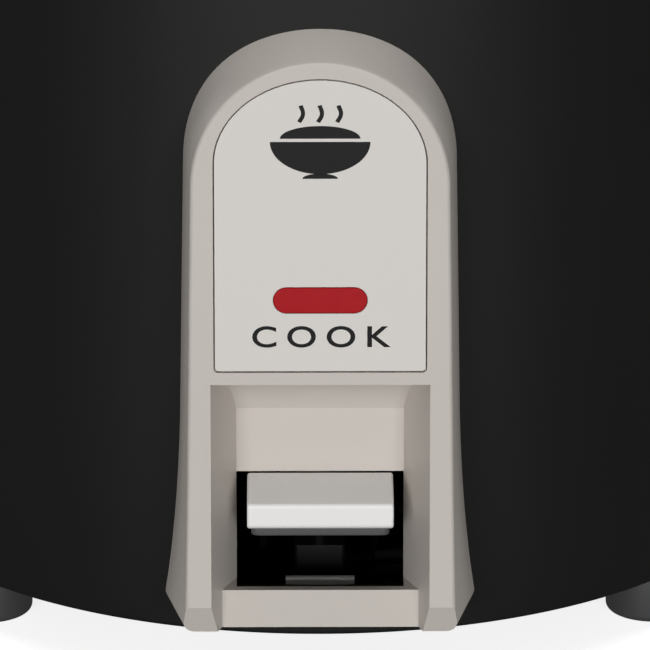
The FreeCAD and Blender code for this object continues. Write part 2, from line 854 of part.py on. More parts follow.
def label_outline(gap, y0, y1):
    """The name plate's arched outline grown by gap, as a prism from depth y0 to y1."""
    w = label_half_width + gap
    low = label_bottom - gap
    rise = label_top - label_spring + gap
    c = label_corner
    q = c * (1 - math.sqrt(0.5))
    centre = V(0, y0, label_spring)
    oval = Part.Ellipse(V(w, y0, label_spring), V(0, y0, label_spring + rise), centre)
    arch = Part.ArcOfEllipse(oval, 0, math.pi).toShape()
    right, left = V(w, y0, label_spring), V(-w, y0, label_spring)
    edges = [
        line(V(-w + c, y0, low), V(w - c, y0, low)),
        arc(V(w - c, y0, low), V(w - q, y0, low + q), V(w, y0, low + c)),
        line(V(w, y0, low + c), right),
        arch,
        line(left, V(-w, y0, low + c)),
        arc(V(-w, y0, low + c), V(-w + q, y0, low + q), V(-w + c, y0, low)),
    ]
    return one(face_of(edges).extrude(V(0, y1 - y0, 0)))


def front_housing():
    outer = one(Part.makeLoft([outline_at(0, 0), outline_at(housing_depth, 0)], True, True))
    d, h = rail_chamfer_depth, rail_chamfer_height
    chamfer_face = [V(-40, -1, -1), V(-40, d + d / h, -1), V(-40, -1, h + h / d)]
    chamfer_edges = [line(a, b) for a, b in zip(chamfer_face, chamfer_face[1:] + chamfer_face[:1])]
    outer = outer.cut(one(face_of(chamfer_edges).extrude(V(80, 0, 0))))
    outer = rounded(one(outer), face_edge_round, lambda e: on_face_rim(e))
    inside = [outline_at(face_wall, housing_wall), outline_at(housing_depth + 1, housing_wall)]
    hollow = one(Part.makeLoft(inside, True, True))
    hollow = hollow.cut(recess_block(housing_wall))
    body = outer.cut(hollow)
    body = body.cut(recess_block(0))
    slot_y0 = crossbar_depth + crossbar_wall
    slot_y1 = housing_depth + 1
    body = body.cut(block(-recess_half_back, recess_half_back, slot_y0, slot_y1, slot_floor, slot_top))
    body = body.cut(label_outline(label_gap, -1, label_thickness + 0.1))
    body = body.cut(pill_prism(lens_width + 0.2, lens_height + 0.2, -1, face_wall + 1, lens_centre))
    body = in_face(body)
    for x, up in screw_spots():
        start, end = boss_axis(x, up)
        inner = face_place.multVec(V(x, face_wall - 0.2, up))
        boss = rod(boss_radius, (inner.x, inner.y, inner.z), (end.x, end.y, inner.z))
        body = body.fuse(boss)
    cutter = can_body(seat_gap, 0, can_top_z + 10)
    half = can_window_half - window_gap
    low, high = can_window_bottom + window_gap, can_window_top - window_gap
    cutter = cutter.cut(block(-half, half, -can_radius - 5, -40, low, high))
    body = body.cut(cutter)
    for x, up in screw_spots():
        start, end = boss_axis(x, up)
        pilot_y = start.y + face_wall + 1.2
        pilot = rod(screw_radius + 0.02, (start.x, pilot_y, start.z), (start.x, end.y, start.z))
        body = body.cut(pilot)
    return one(body)


def on_face_rim(edge):
    """True for the edges round the housing's face, which lies at depth 0, and not the chamfer's."""
    box = edge.BoundBox
    return box.YMax < 0.01 and not (box.ZMax - box.ZMin < 0.01)


def label_plate():
    plate = label_outline(0, 0.05, label_thickness)
    plate = plate.cut(pill_prism(lens_width + 0.1, lens_height + 0.1, -1, face_wall, lens_centre))
    return one(in_face(one(plate)))


def indicator_lens():
    front = pill_prism(lens_width, lens_height, 0.05, face_wall + 0.1, lens_centre)
    width, height = lens_width + 2 * lens_flange, lens_height + 2 * lens_flange
    back = pill_prism(width, height, face_wall, face_wall + lens_flange_thickness, lens_centre)
    return one(in_face(one(front.fuse(back).removeSplitter())))


def lamp_axis_y():
    return face_wall + lens_flange_thickness + lamp_radius + 0.8


def indicator_lamp():
    y = lamp_axis_y()
    glass = rod(lamp_radius, (-lamp_length / 2, y, lens_centre), (lamp_length / 2, y, lens_centre))
    return one(in_face(rounded(one(glass), 0.8, lambda e: e.Length > 5 and abs(e.CenterOfMass.x) > 1)))


def lamp_holder():
    y = lamp_axis_y()
    half = lens_width / 2 + lens_flange
    y0 = face_wall + lens_flange_thickness + 0.02
    strip = block(-half, half, y0, y + lamp_radius * 0.6, lens_centre - 3.6, lens_centre + 3.6)
    reach, tall = lamp_length / 2 + 0.3, lamp_radius - 0.35
    hole = block(-reach, reach, y0 - 1, y + 5, lens_centre - tall, lens_centre + tall)
    bed = rod(lamp_radius + 0.06, (-reach, y, lens_centre), (reach, y, lens_centre))
    return one(in_face(one(strip.cut(hole).cut(bed))))


def housing_screw(x, up):
    start, end = boss_axis(x, up)
    head_y = -math.sqrt((can_radius - can_sheet) ** 2 - (abs(x) + screw_head_radius * 0.2) ** 2) + 0.9
    return screw_along((start.x, head_y, start.z), (start.x, start.y + face_wall + 1.6, start.z))


# ---- pan and lid ---------------------------------------------------------------------------------


def inner_pan():
    """Drawn aluminium pan with a rolled flange, resting on the heater plate."""
    zb, zf = pan_bottom_z, pan_flange_z
    ro, ri, c, w = pan_radius, pan_inner_radius, pan_corner, pan_wall
    qo = c * (1 - math.sqrt(0.5))
    ci = c - w
    qi = ci * (1 - math.sqrt(0.5))
    zt = pan_flange_top_z
    fo = pan_flange_radius
    bend = 1.6
    qb = bend * (1 - math.sqrt(0.5))
    bend_in = bend + w
    qbi = bend_in * (1 - math.sqrt(0.5))
    edges = [
        line(V(0, 0, zb), V(ro - c, 0, zb)),
        arc(V(ro - c, 0, zb), V(ro - qo, 0, zb + qo), V(ro, 0, zb + c)),
        line(V(ro, 0, zb + c), V(ro, 0, zf - bend)),
        arc(V(ro, 0, zf - bend), V(ro + qb, 0, zf - qb), V(ro + bend, 0, zf)),
        line(V(ro + bend, 0, zf), V(fo - w / 2, 0, zf)),
        arc(V(fo - w / 2, 0, zf), V(fo, 0, (zf + zt) / 2), V(fo - w / 2, 0, zt)),
        line(V(fo - w / 2, 0, zt), V(ri + bend_in, 0, zt)),
        arc(V(ri + bend_in, 0, zt), V(ri + qbi, 0, zt - qbi), V(ri, 0, zt - bend_in)),
        line(V(ri, 0, zt - bend_in), V(ri, 0, zb + c)),
        arc(V(ri, 0, zb + c), V(ri - qi, 0, zb + w + qi), V(ri - ci, 0, zb + w)),
        line(V(ri - ci, 0, zb + w), V(0, 0, zb + w)),
        line(V(0, 0, zb + w), V(0, 0, zb)),
    ]
    return turned_edges(edges)


def dome_z(r, lift):
    """Height of the lid glass's lower face at a radius, moved out along its own curve by lift."""
    return glass_centre_z + math.sqrt((glass_sphere + lift) ** 2 - r**2)


def on_glass(shape):
    """Carries a shape built at the origin to the vent's place, square to the glass's lower face."""
    lean = math.asin(vent_offset / glass_sphere)
    placed = shape.copy()
    turn = FreeCAD.Rotation(V(1, 0, 0), -math.degrees(lean))
    seat = FreeCAD.Placement(V(0, vent_offset, dome_z(vent_offset, 0)), turn)
    placed.Placement = seat.multiply(placed.Placement)
    return placed


def lid_glass():
    t = glass_thickness
    r = glass_radius - 1.4
    mid = r / 2
    edges = [
        line(V(0, 0, dome_z(0, 0)), V(0, 0, dome_z(0, t))),
        arc(V(0, 0, dome_z(0, t)), V(mid, 0, dome_z(mid, t)), V(r, 0, dome_z(r, t))),
        line(V(r, 0, dome_z(r, t)), V(r, 0, dome_z(r, 0))),
        arc(V(r, 0, dome_z(r, 0)), V(mid, 0, dome_z(mid, 0)), V(0, 0, dome_z(0, 0))),
    ]
    glass = turned_edges(edges)
    glass = glass.cut(rod(knob_bolt_radius + 0.6, (0, 0, 140), (0, 0, 200)))
    hole = rod(vent_radius - 1.6, (0, 0, -5), (0, 0, 12))
    return one(glass.cut(on_glass(hole)))


def lid_rim():
    """Rolled stainless band that grips the edge of the glass and rests on the pan's flange."""
    ro = lid_rim_radius
    zb = lid_bottom_z
    w = lid_rim_width
    glass_r = glass_radius - 1.4
    z_low = dome_z(glass_r, 0)
    z_high = dome_z(glass_r, glass_thickness)
    zt = z_high + 1.6
    outer = [
        line(V(ro - w, 0, zb), V(ro - 1.2, 0, zb)),
        arc(V(ro - 1.2, 0, zb), V(ro - 0.35, 0, zb + 0.35), V(ro, 0, zb + 1.2)),
        line(V(ro, 0, zb + 1.2), V(ro, 0, zt - 1.8)),
        arc(V(ro, 0, zt - 1.8), V(ro - 0.55, 0, zt - 0.5), V(ro - 1.9, 0, zt)),
        line(V(ro - 1.9, 0, zt), V(ro - w, 0, zt + 0.35)),
        line(V(ro - w, 0, zt + 0.35), V(ro - w, 0, zb)),
    ]
    band = turned_edges(outer)
    grip = turned(
        [
            (ro - w - 1, dome_z(ro - w - 1, -0.05)),
            (glass_r + 0.15, z_low - 0.1),
            (glass_r + 0.15, z_high + 0.12),
            (ro - w - 1, dome_z(ro - w - 1, glass_thickness + 0.08)),
        ]
    )
    return one(band.cut(grip))


def knob_skirt():
    base = turned(
        [
            (knob_bolt_radius + 0.3, skirt_bottom_z),
            (skirt_radius - 1.5, dome_z(skirt_radius, glass_thickness) + 0.75),
            (skirt_radius, dome_z(skirt_radius, glass_thickness) + 1.2),
            (skirt_radius, skirt_bottom_z + 2.2),
            (skirt_radius - 1.8, skirt_top_z - 1.2),
            (knob_neck_radius + 0.2, skirt_top_z),
            (knob_bolt_radius + 0.3, skirt_top_z),
        ]
    )
    return base


def lid_knob():
    """Moulded knob: a waisted neck under a broad, softly domed cap."""
    r, n = knob_radius, knob_neck_radius
    z0, zc, zt = skirt_top_z, knob_cap_bottom_z, knob_top_z
    rc, drop = knob_crown_radius, knob_crown_drop
    crown = (rc**2 + drop**2) / (2 * drop)
    crown_mid = V(rc / 2, 0, zt - crown + math.sqrt(crown**2 - (rc / 2) ** 2))
    edges = [
        line(V(0, 0, z0), V(n, 0, z0)),
        arc(V(n, 0, z0), V(n - 1.3, 0, (z0 + zc) / 2), V(n + 1.6, 0, zc)),
        line(V(n + 1.6, 0, zc), V(r - 2.6, 0, zc + 1.2)),
        arc(V(r - 2.6, 0, zc + 1.2), V(r - 0.6, 0, zc + 2.6), V(r, 0, zc + 5.2)),
        arc(V(r, 0, zc + 5.2), V(r - 2.2, 0, zt - 4.6), V(rc, 0, zt - drop)),
        arc(V(rc, 0, zt - drop), crown_mid, V(0, 0, zt)),
        line(V(0, 0, zt), V(0, 0, z0)),
    ]
    knob = turned_edges(edges)
    return one(knob.cut(rod(knob_bolt_radius + 0.02, (0, 0, z0 - 1), (0, 0, z0 + 9))))


def knob_screw():
    head_z = dome_z(0, 0) - 0.1
    return screw_along((0, 0, head_z), (0, 0, skirt_top_z + 8), knob_bolt_radius, 5.0, 2.2)


def vent_grommet():
    """Stainless eyelet crimped through the glass, for steam."""
    t = glass_thickness
    neck = vent_radius - 1.75
    eyelet = turned(
        [
            (vent_bore, -0.9),
            (vent_radius - 0.4, -0.9),
            (vent_radius, -0.5),
            (vent_radius, -0.15),
            (neck, -0.15),
            (neck, t + 0.12),
            (vent_radius + 0.8, t + 0.12),
            (vent_radius + 0.8, t + 0.5),
            (vent_radius, t + 1.1),
            (vent_bore, t + 1.1),
        ]
    )
    return one(on_glass(eyelet))


# ---- handles -------------------------------------------------------------------------------------


def handle_plan(inset, z0, z1):
    """The handle's outline seen from above, moved in by inset, as a prism."""
    reach = handle_reach - inset
    root = handle_half_width - inset
    end = handle_end_half_width - inset
    bow = handle_bow
    a, b = V(60, -root, z0), V(reach - bow, -end, z0)
    c, d = V(reach - bow, end, z0), V(60, root, z0)
    edges = [line(a, b), arc(b, V(reach, 0, z0), c), line(c, d), line(d, a)]
    prism = one(face_of(edges).extrude(V(0, 0, z1 - z0)))
    corner = max(handle_corner - inset, 1.5)
    upright = lambda e: e.BoundBox.ZLength > 1 and e.CenterOfMass.x > 70
    return rounded(prism, corner, upright)


def handle(side):
    """Side grip: a bowed shelf with a turned-down lip and a finger hollow, open below."""
    solid = handle_plan(0, handle_base_z, handle_top_z)
    skirt_x = can_radius + handle_pad + 6.0
    low_z, far_x = handle_base_z - 1, handle_reach + 5
    corners = [(skirt_x - 4.5, low_z), (skirt_x, handle_lip_z), (far_x, handle_lip_z), (far_x, low_z)]
    under = [V(x, -60, z) for x, z in corners]
    under_edges = [line(a, b) for a, b in zip(under, under[1:] + under[:1])]
    solid = solid.cut(one(face_of(under_edges).extrude(V(0, 120, 0))))
    top = handle_top_z
    solid = rounded(one(solid), 2.2, lambda e: abs(e.BoundBox.ZMin - top) < 0.01 and e.CenterOfMass.x > 62)
    hollow = handle_plan(handle_wall, handle_base_z - 2, handle_top_z - handle_wall)
    hollow = hollow.cut(rod(can_radius + handle_pad, (0, 0, 90), (0, 0, 140)))
    solid = solid.cut(hollow)
    solid = solid.cut(rod(can_radius + seat_gap, (0, 0, 90), (0, 0, 140)))
    for y in (-handle_screw_y, handle_screw_y):
        boss_start = math.sqrt((can_radius + handle_pad) ** 2 - y**2) - 2
        boss = rod(3.2, (boss_start, y, handle_screw_z), (boss_start + 6.0, y, handle_screw_z))
        solid = solid.fuse(boss)
        pilot = rod(screw_radius + 0.02, (60, y, handle_screw_z), (boss_start + 4.5, y, handle_screw_z))
        solid = solid.cut(pilot)
    solid = solid.cut(rod(can_radius + seat_gap, (0, 0, 90), (0, 0, 140)))
    grip = one(solid.removeSplitter())
    return grip if side > 0 else around(grip, 180)


def handle_screw(side, y):
    head_x = math.sqrt((can_radius - can_sheet) ** 2 - (abs(y) + screw_head_radius * 0.9) ** 2) - 0.1
    tip_x = math.sqrt((can_radius + handle_pad) ** 2 - y**2) + 1.6
    return screw_along((side * head_x, y, handle_screw_z), (side * tip_x, y, handle_screw_z))


# ---- rear inlet ----------------------------------------------------------------------------------


def oval(half_w, half_h, y0, y1, centre_z):
    return pill_prism(2 * half_w, 2 * half_h, y0, y1, centre_z)


def inlet_centre_z():
    return (inlet_bottom_z + inlet_top_z) / 2


def inlet_housing():
    w = inlet_half_width
    y1 = inlet_reach
    cap = block(-w, w, 60, y1, inlet_bottom_z, inlet_top_z + 8)
    along = lambda e: e.BoundBox.YLength > 20
    cap = rounded(one(cap), inlet_round, along)
    front_rim = lambda e: abs(e.BoundBox.YMin - y1) < 0.01
    cap = rounded(cap, 1.0, front_rim)
    cutter = can_body(seat_gap, 0, can_top_z)
    plug_half = w - 2 - slide_gap
    low, high = inlet_bottom_z + 2 + slide_gap, inlet_top_z - 2 - slide_gap
    throat = block(-plug_half, plug_half, 40, 100, low, high)
    cap = cap.cut(cutter.cut(throat))
    cap = cap.cut(block(-60, 60, 0, inlet_reach - inlet_depth, 0, 100))
    mid = inlet_centre_z()
    socket_y0, socket_y1 = inlet_reach - socket_depth, inlet_reach + 1
    cap = cap.cut(oval(socket_half_width, socket_half_height, socket_y0, socket_y1, mid))
    for s in (-1, 1):
        x = s * contact_spacing / 2
        cap = cap.cut(rod(contact_radius + 0.03, (x, 50, mid), (x, inlet_reach, mid)))
        sx, sz = s * inlet_screw_x, inlet_screw_z
        cap = cap.cut(rod(screw_radius + 0.02, (sx, 60, sz), (sx, inlet_reach - 4, sz)))
    return one(cap)


def inlet_pin(side):
    x = side * contact_spacing / 2
    mid = inlet_centre_z()
    tip = inlet_reach - 3.0
    pin = rod(contact_radius, (x, inlet_reach - inlet_depth - 6, mid), (x, tip, mid))
    return rounded(one(pin), 1.2, lambda e: abs(e.BoundBox.YMin - tip) < 0.01 and e.Length > 5)


def inlet_screw(side):
    x = side * inlet_screw_x
    wall_radius = can_edge_radius(-can_sheet, inlet_screw_z)
    y = math.sqrt(wall_radius**2 - (abs(x) + screw_head_radius * 0.9) ** 2) - 0.1
    return screw_along((x, y, inlet_screw_z), (x, inlet_reach - 5.5, inlet_screw_z))


# ---- fuse and wiring -----------------------------------------------------------------------------


def thermal_fuse():
    x, y = fuse_centre
    z = heater_bottom_z - fuse_radius - 0.05
    return one(rod(fuse_radius, (x - fuse_half_length, y, z), (x + fuse_half_length, y, z)))


def fuse_clip():
    """A sheet strap under the fuse with one tab screwed up against the heater plate."""
    x, y = fuse_centre
    z = heater_bottom_z
    centre_z = z - fuse_radius - 0.05
    inner = fuse_radius + 0.05
    strap = rod(inner + clip_sheet, (x - 3, y, centre_z), (x + 3, y, centre_z))
    strap = strap.cut(rod(inner, (x - 4, y, centre_z), (x + 4, y, centre_z)))
    strap = strap.cut(block(x - 5, x + 5, y - 10, y + 10, z - clip_sheet / 2, z + 5))
    hx, hy = fuse_clip_screw
    tab = block(x - 3, x + 3, y + 0.8 * fuse_radius, hy + 3, z - clip_sheet, z)
    clip = strap.fuse(tab)
    clip = clip.cut(rod(screw_radius + screw_gap, (hx, hy, 30), (hx, hy, 45)))
    return one(clip.removeSplitter())


def clip_screw():
    x, y = fuse_clip_screw
    return screw_along((x, y, heater_bottom_z - clip_sheet), (x, y, heater_bottom_z + 4))


def lead(radius, points):
    """An insulated lead: straight runs joined by tangent arcs, each as large as its runs allow."""
    route = [V(*p) for p in points]
    edges = []
    at = route[0]
    for before, here, after in zip(route, route[1:], route[2:]):
        back, ahead = before - here, after - here
        turn = math.pi - back.getAngle(ahead)
        trim = 0.45 * min(back.Length, ahead.Length)
        bend = trim / math.tan(turn / 2)
        start = here + back.normalize() * trim
        end = here + ahead.normalize() * trim
        to_centre = ((start + end) * 0.5 - here).normalize()
        reach = math.sqrt(trim**2 + bend**2) - bend
        edges.append(line(at, start))
        edges.append(arc(start, here + to_centre * reach, end))
        at = end
    edges.append(line(at, route[-1]))
    path = Part.Wire(edges)
    section = Part.Wire(Part.makeCircle(radius, route[0], route[1] - route[0]))
    return one(path.makePipeShell([section], True, False))


def mains_leads():
    """Inlet to fuse, fuse to element, switch to element behind the pivot, and inlet to switch."""
    pin_x, pin_y, pin_z = contact_spacing / 2, inlet_reach - inlet_depth - 6.4, inlet_centre_z()
    fy = fuse_centre[1]
    fuse_z = heater_bottom_z - fuse_radius - 0.05
    fuse_x = fuse_half_length + 0.6
    tx, ty = polar(element_ring_radius, 90 - element_gap_angle / 2 - 6)
    tz = heater_bottom_z - terminal_drop - 0.1
    tab_x, tab_z = switch_half_x + 5.2, plate_top_z + 3.4
    rear_tab, front_tab = switch_y + 3.5, switch_y - 3.5
    to_fuse = [(-pin_x, pin_y, pin_z), (-pin_x, 52, 25.5), (-26, 40, 24), (-20, fy, 33)]
    to_fuse.append((-fuse_x, fy, fuse_z))
    from_fuse = [(fuse_x, fy, fuse_z), (14, fy, fuse_z - 1), (16, 20, 28), (tx, ty, 22), (tx, ty, tz)]
    behind_pivot = [(18, rear_tab + 2, 15.3), (18, -28, 15), (-8, -20, 15), (-28, 8, 17), (-tx, ty, 22)]
    to_element = [(tab_x, rear_tab, tab_z), *behind_pivot, (-tx, ty, tz)]
    round_right = [(24, front_tab + 1, 16), (42, -24, 17), (36, 30, 19), (pin_x, 50, 24)]
    to_switch = [(tab_x, front_tab, tab_z), *round_right, (pin_x, pin_y, pin_z)]
    return [lead(lead_radius, route) for route in (to_fuse, from_fuse, to_element, to_switch)]


def lamp_leads():
    """Two thin leads from the indicator lamp, down beside the can's window to the switch."""
    leads = []
    for s in (-1, 1):
        start = face_place.multVec(V(s * 4.6, lamp_axis_y() + lamp_radius + 0.1, lens_centre))
        z = start.z
        down = [(s * 14, -77.5, 62), (s * 27, -73.5, 46), (s * 27, -73, 30), (s * 20, -73, 15)]
        end = [(s * 3, -72.5, 15), (s * 3, switch_y - switch_half_y - 0.1, 15)]
        route = [(start.x, start.y, z), (start.x, -79.5, z - 0.5), *down, *end]
        leads.append(lead(lamp_lead_radius, route))
    return leads


def main():
    os.makedirs("parts", exist_ok=True)
    save("body_shell", body_shell())
    save("bottom_plate", bottom_plate())
    names = ("front_left", "front_right", "rear_left", "rear_right")
    for name, (x, y) in zip(names, foot_places):
        save("foot_" + name, foot(x, y))
    save("foot_screws", *[foot_screw(x, y) for x, y in foot_places])
    save("foot_nuts", *[foot_nut(x, y) for x, y in foot_places])
    save("liner_supports", *[liner_support(a) for a in support_angles])
    save("base_screws", *[base_screw(a) for a in support_angles])
    save("top_ring", top_ring())
    save("inner_liner", inner_liner())
    save("heater_plate", heater_plate())
    save("heating_element", heating_element())
    save("heater_spacers", *[heater_spacer(a) for a in spacer_angles])
    save("heater_screws", *[heater_screw(a) for a in spacer_angles])
    save("sensor_cap", sensor_cap())
    save("sensor_ferrite", sensor_ferrite())
    save("sensor_spring", sensor_spring())
    save("sensor_bracket", sensor_bracket())
    save("bracket_screws", *[bracket_screw(a) for a in bracket_angles])
    save("magnet", magnet())
    save("magnet_holder", magnet_holder())
    save("drop_spring", drop_spring())
    save("lever_knob", lever_knob())
    save("lever_insert", lever_insert())
    save("lever_arm", lever_arm())
    save("pivot_pin", pivot_pin())
    save("pivot_bracket", pivot_bracket())
    save("slot_guard", slot_guard())
    save("switch_body", switch_body())
    save("switch_plunger", switch_plunger())
    save("front_housing", front_housing())
    save("label_plate", label_plate())
    save("indicator_lens", indicator_lens())
    save("indicator_lamp", indicator_lamp())
    save("lamp_holder", lamp_holder())
    save("housing_screws", *[housing_screw(x, up) for x, up in screw_spots()])
    save("inner_pan", inner_pan())
    save("lid_glass", lid_glass())
    save("lid_rim", lid_rim())
    save("knob_skirt", knob_skirt())
    save("lid_knob", lid_knob())
    save("knob_screw", knob_screw())
    save("vent_grommet", vent_grommet())
    save("handle_left", handle(-1))
    save("handle_right", handle(1))
    save("handle_screws", *[handle_screw(s, y) for s in (-1, 1) for y in (-handle_screw_y, handle_screw_y)])
    save("inlet_housing", inlet_housing())
    save("inlet_pins", inlet_pin(-1), inlet_pin(1))
    save("inlet_screws", inlet_screw(-1), inlet_screw(1))
    save("thermal_fuse", thermal_fuse())
    save("fuse_clip", fuse_clip())
    save("clip_screw", clip_screw())
    save("mains_leads", *mains_leads())
    save("lamp_leads", *lamp_leads())


main()
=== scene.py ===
"""The rice cooker's looks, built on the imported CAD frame. Metres; +Z up, the front faces -Y."""

import math

import bmesh
import bpy
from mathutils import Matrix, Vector


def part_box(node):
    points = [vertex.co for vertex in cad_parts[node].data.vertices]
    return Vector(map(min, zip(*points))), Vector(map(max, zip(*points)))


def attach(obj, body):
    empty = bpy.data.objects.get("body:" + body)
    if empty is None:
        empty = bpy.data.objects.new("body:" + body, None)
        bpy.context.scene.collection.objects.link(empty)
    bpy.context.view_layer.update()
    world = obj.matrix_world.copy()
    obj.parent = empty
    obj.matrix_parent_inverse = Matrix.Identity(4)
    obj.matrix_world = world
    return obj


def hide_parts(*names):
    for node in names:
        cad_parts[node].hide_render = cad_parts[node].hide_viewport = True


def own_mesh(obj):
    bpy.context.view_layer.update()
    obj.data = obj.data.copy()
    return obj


bpy.ops.wm.read_factory_settings(use_empty=True)
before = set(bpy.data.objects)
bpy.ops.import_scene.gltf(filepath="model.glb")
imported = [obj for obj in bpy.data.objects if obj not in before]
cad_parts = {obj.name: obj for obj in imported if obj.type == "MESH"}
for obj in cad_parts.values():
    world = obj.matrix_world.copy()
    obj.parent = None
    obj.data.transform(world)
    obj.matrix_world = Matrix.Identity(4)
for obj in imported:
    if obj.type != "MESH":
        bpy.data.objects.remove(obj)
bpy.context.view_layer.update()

# ---- FEET -----------------------------------------------------------------------------------------
# Four round feet moulded in grey polypropylene. Each has a slight taper, a rounded lower edge and
# a sunk screw seat underneath, and is screwed up through the base plate into a nut.

mm = 0.001


def linear(hex_colour):
    """sRGB hex to the linear colour that Blender's sockets take."""
    parts = [int(hex_colour[i : i + 2], 16) / 255 for i in (1, 3, 5)]
    return (*[c / 12.92 if c <= 0.04045 else ((c + 0.055) / 1.055) ** 2.4 for c in parts], 1.0)


def add(tree, kind, settings=None, links=None):
    """Adds a node. Settings are its properties or its inputs' values, and links feed its inputs."""
    node = tree.nodes.new("ShaderNode" + kind)
    for key, value in (settings or {}).items():
        if isinstance(key, str) and hasattr(node, key):
            setattr(node, key, value)
        else:
            node.inputs[key].default_value = value
    for key, source in (links or {}).items():
        tree.links.new(source, node.inputs[key])
    return node


def new_finish(name, **sockets):
    """A material with one Principled shader whose sockets are set, and the tree to add patterns to."""
    material = bpy.data.materials.new(name)
    material.use_nodes = True
    tree = material.node_tree
    surface = tree.nodes["Principled BSDF"]
    for socket, value in sockets.items():
        surface.inputs[socket.replace("_", " ")].default_value = value
    return material, tree, surface


def only(piece):
    """Makes the piece the one selected and active object."""
    bpy.ops.object.select_all(action="DESELECT")
    piece.select_set(True)
    bpy.context.view_layer.objects.active = piece


def pick(piece, kind, wanted):
    """In edit mode, selects the vertices, edges or faces whose middle passes the test."""
    bpy.ops.mesh.select_all(action="DESELECT")
    bpy.ops.mesh.select_mode(type={"verts": "VERT", "edges": "EDGE", "faces": "FACE"}[kind])
    mesh = bmesh.from_edit_mesh(piece.data)
    for item in getattr(mesh, kind):
        if kind == "verts":
            chosen = wanted(item.co)
        elif kind == "edges":
            chosen = wanted((item.verts[0].co + item.verts[1].co) / 2)
        else:
            chosen = wanted(item.calc_center_median(), item.normal)
        if chosen:
            item.select_set(True)
    mesh.select_flush_mode()
    bmesh.update_edit_mesh(piece.data)


def modified(piece, kind, **settings):
    """Adds a modifier to the piece and applies it."""
    only(piece)
    modifier = piece.modifiers.new(kind.title(), kind)
    for key, value in settings.items():
        setattr(modifier, key, value)
    bpy.ops.object.modifier_apply(modifier=modifier.name)


def settled(piece, body, finish, stands_for=(), angle=32):
    """Puts the piece's place into its mesh, smooths it, gives it its finish and hangs it on its body."""
    only(piece)
    bpy.ops.object.transform_apply(location=True, rotation=True, scale=True)
    bpy.ops.object.shade_smooth_by_angle(angle=math.radians(angle))
    piece.data.materials.clear()
    piece.data.materials.append(finish)
    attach(piece, body)
    if stands_for:
        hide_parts(*stands_for)
    return piece


def turned(name, profile, centre=(0, 0), steps=160, sweep=math.tau):
    """Draws a profile of (radius, height) points in millimetres and spins it about an upright axis."""
    cx, cy = centre[0] * mm, centre[1] * mm
    r0, z0 = profile[0]
    bpy.ops.object.select_all(action="DESELECT")
    bpy.ops.mesh.primitive_plane_add(size=mm, location=(cx + r0 * mm, cy, z0 * mm))
    piece = bpy.context.object
    piece.name = name
    bpy.ops.object.mode_set(mode="EDIT")
    bpy.ops.mesh.select_all(action="SELECT")
    bpy.ops.mesh.merge(type="CENTER")
    for (r, z), (r_next, z_next) in zip(profile, profile[1:]):
        step = ((r_next - r) * mm, 0, (z_next - z) * mm)
        bpy.ops.mesh.extrude_region_move(TRANSFORM_OT_translate={"value": step})
    bpy.ops.mesh.select_all(action="SELECT")
    if sweep < math.tau:
        bpy.ops.mesh.remove_doubles(threshold=2e-6)
        bpy.ops.mesh.edge_face_add()
    bpy.ops.mesh.spin(steps=steps, angle=sweep, center=(cx, cy, 0), axis=(0, 0, 1))
    bpy.ops.mesh.select_all(action="SELECT")
    bpy.ops.mesh.remove_doubles(threshold=2e-6)
    bpy.ops.mesh.normals_make_consistent(inside=False)
    bpy.ops.object.mode_set(mode="OBJECT")
    return piece


def bow(centre, radius, start, end, count):
    """Points along an arc of the profile, from one angle to another in degrees."""
    angles = [math.radians(start + (end - start) * i / count) for i in range(count + 1)]
    return [(centre[0] + radius * math.cos(a), centre[1] + radius * math.sin(a)) for a in angles]


# Grey polypropylene, injection moulded: a soft, slightly waxy sheen over a fine spark-eroded grain.
foot_finish, tree, surface = new_finish(
    "grey_polypropylene_moulded", Base_Color=linear("#3D3D3E"), Roughness=0.48, Specular_IOR_Level=0.45
)
place = add(tree, "TexCoord")
grain = add(tree, "TexNoise", {"Scale": 2600.0, "Detail": 3.0}, {"Vector": place.outputs["Object"]})
bump = add(tree, "Bump", {"Strength": 0.12, "Distance": 0.05 * mm}, {"Height": grain.outputs["Fac"]})
tree.links.new(bump.outputs["Normal"], surface.inputs["Normal"])

foot_profile = [(1.4, 5.0), (4.0, 5.0), (4.0, 0.5)]
foot_profile += bow((4.5, 0.5), 0.5, 180, 270, 4)[1:]
foot_profile += bow((7.0, 1.3), 1.3, -90, 0, 8)
foot_profile += bow((8.1, 10.05), 0.3, 0, 90, 4)
foot_profile += [(3.4, 10.35), (3.4, 11.1), (1.4, 11.1), (1.4, 5.0)]
for name in ("front_left", "front_right", "rear_left", "rear_right"):
    low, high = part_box("foot_" + name)
    middle = ((low.x + high.x) / 2 / mm, (low.y + high.y) / 2 / mm)
    foot = turned("foot_" + name + "_moulded", foot_profile, middle, steps=96)
    settled(foot, "cooker", foot_finish, ["foot_" + name])

# ---- BASE PLATE AND ITS FASTENERS -----------------------------------------------------------------
# The base is pressed from sheet steel, with rows of cooling slots, and pushed up inside the can's
# turned-in lip. It is coated black like the can, partly as painted shade that keeps the floor seen
# inside the lever's slot dark. The screws, nuts and supports are zinc-plated steel, and the liner
# above them is galvanised.


def coat(nodes, finish):
    """Gives carried-over CAD nodes their finish."""
    for node in nodes:
        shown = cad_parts[node]
        shown.data.materials.clear()
        shown.data.materials.append(finish)


# Galvanised sheet: soft grey metal with faint zinc spangles about 6 mm across.
galvanised, tree, surface = new_finish("galvanised_sheet", Metallic=1.0)
place = add(tree, "TexCoord")
spangle = add(tree, "TexVoronoi", {"Scale": 160.0}, {"Vector": place.outputs["Object"]})
tone = add(tree, "MapRange", {"To Min": 0.34, "To Max": 0.50}, {"Value": spangle.outputs["Color"]})
tint = add(
    tree,
    "Mix",
    {"data_type": "RGBA", 6: linear("#A3A5A6"), 7: linear("#BDBFBF")},
    {0: spangle.outputs["Color"]},
)
tree.links.new(tint.outputs[2], surface.inputs["Base Color"])
tree.links.new(tone.outputs["Result"], surface.inputs["Roughness"])

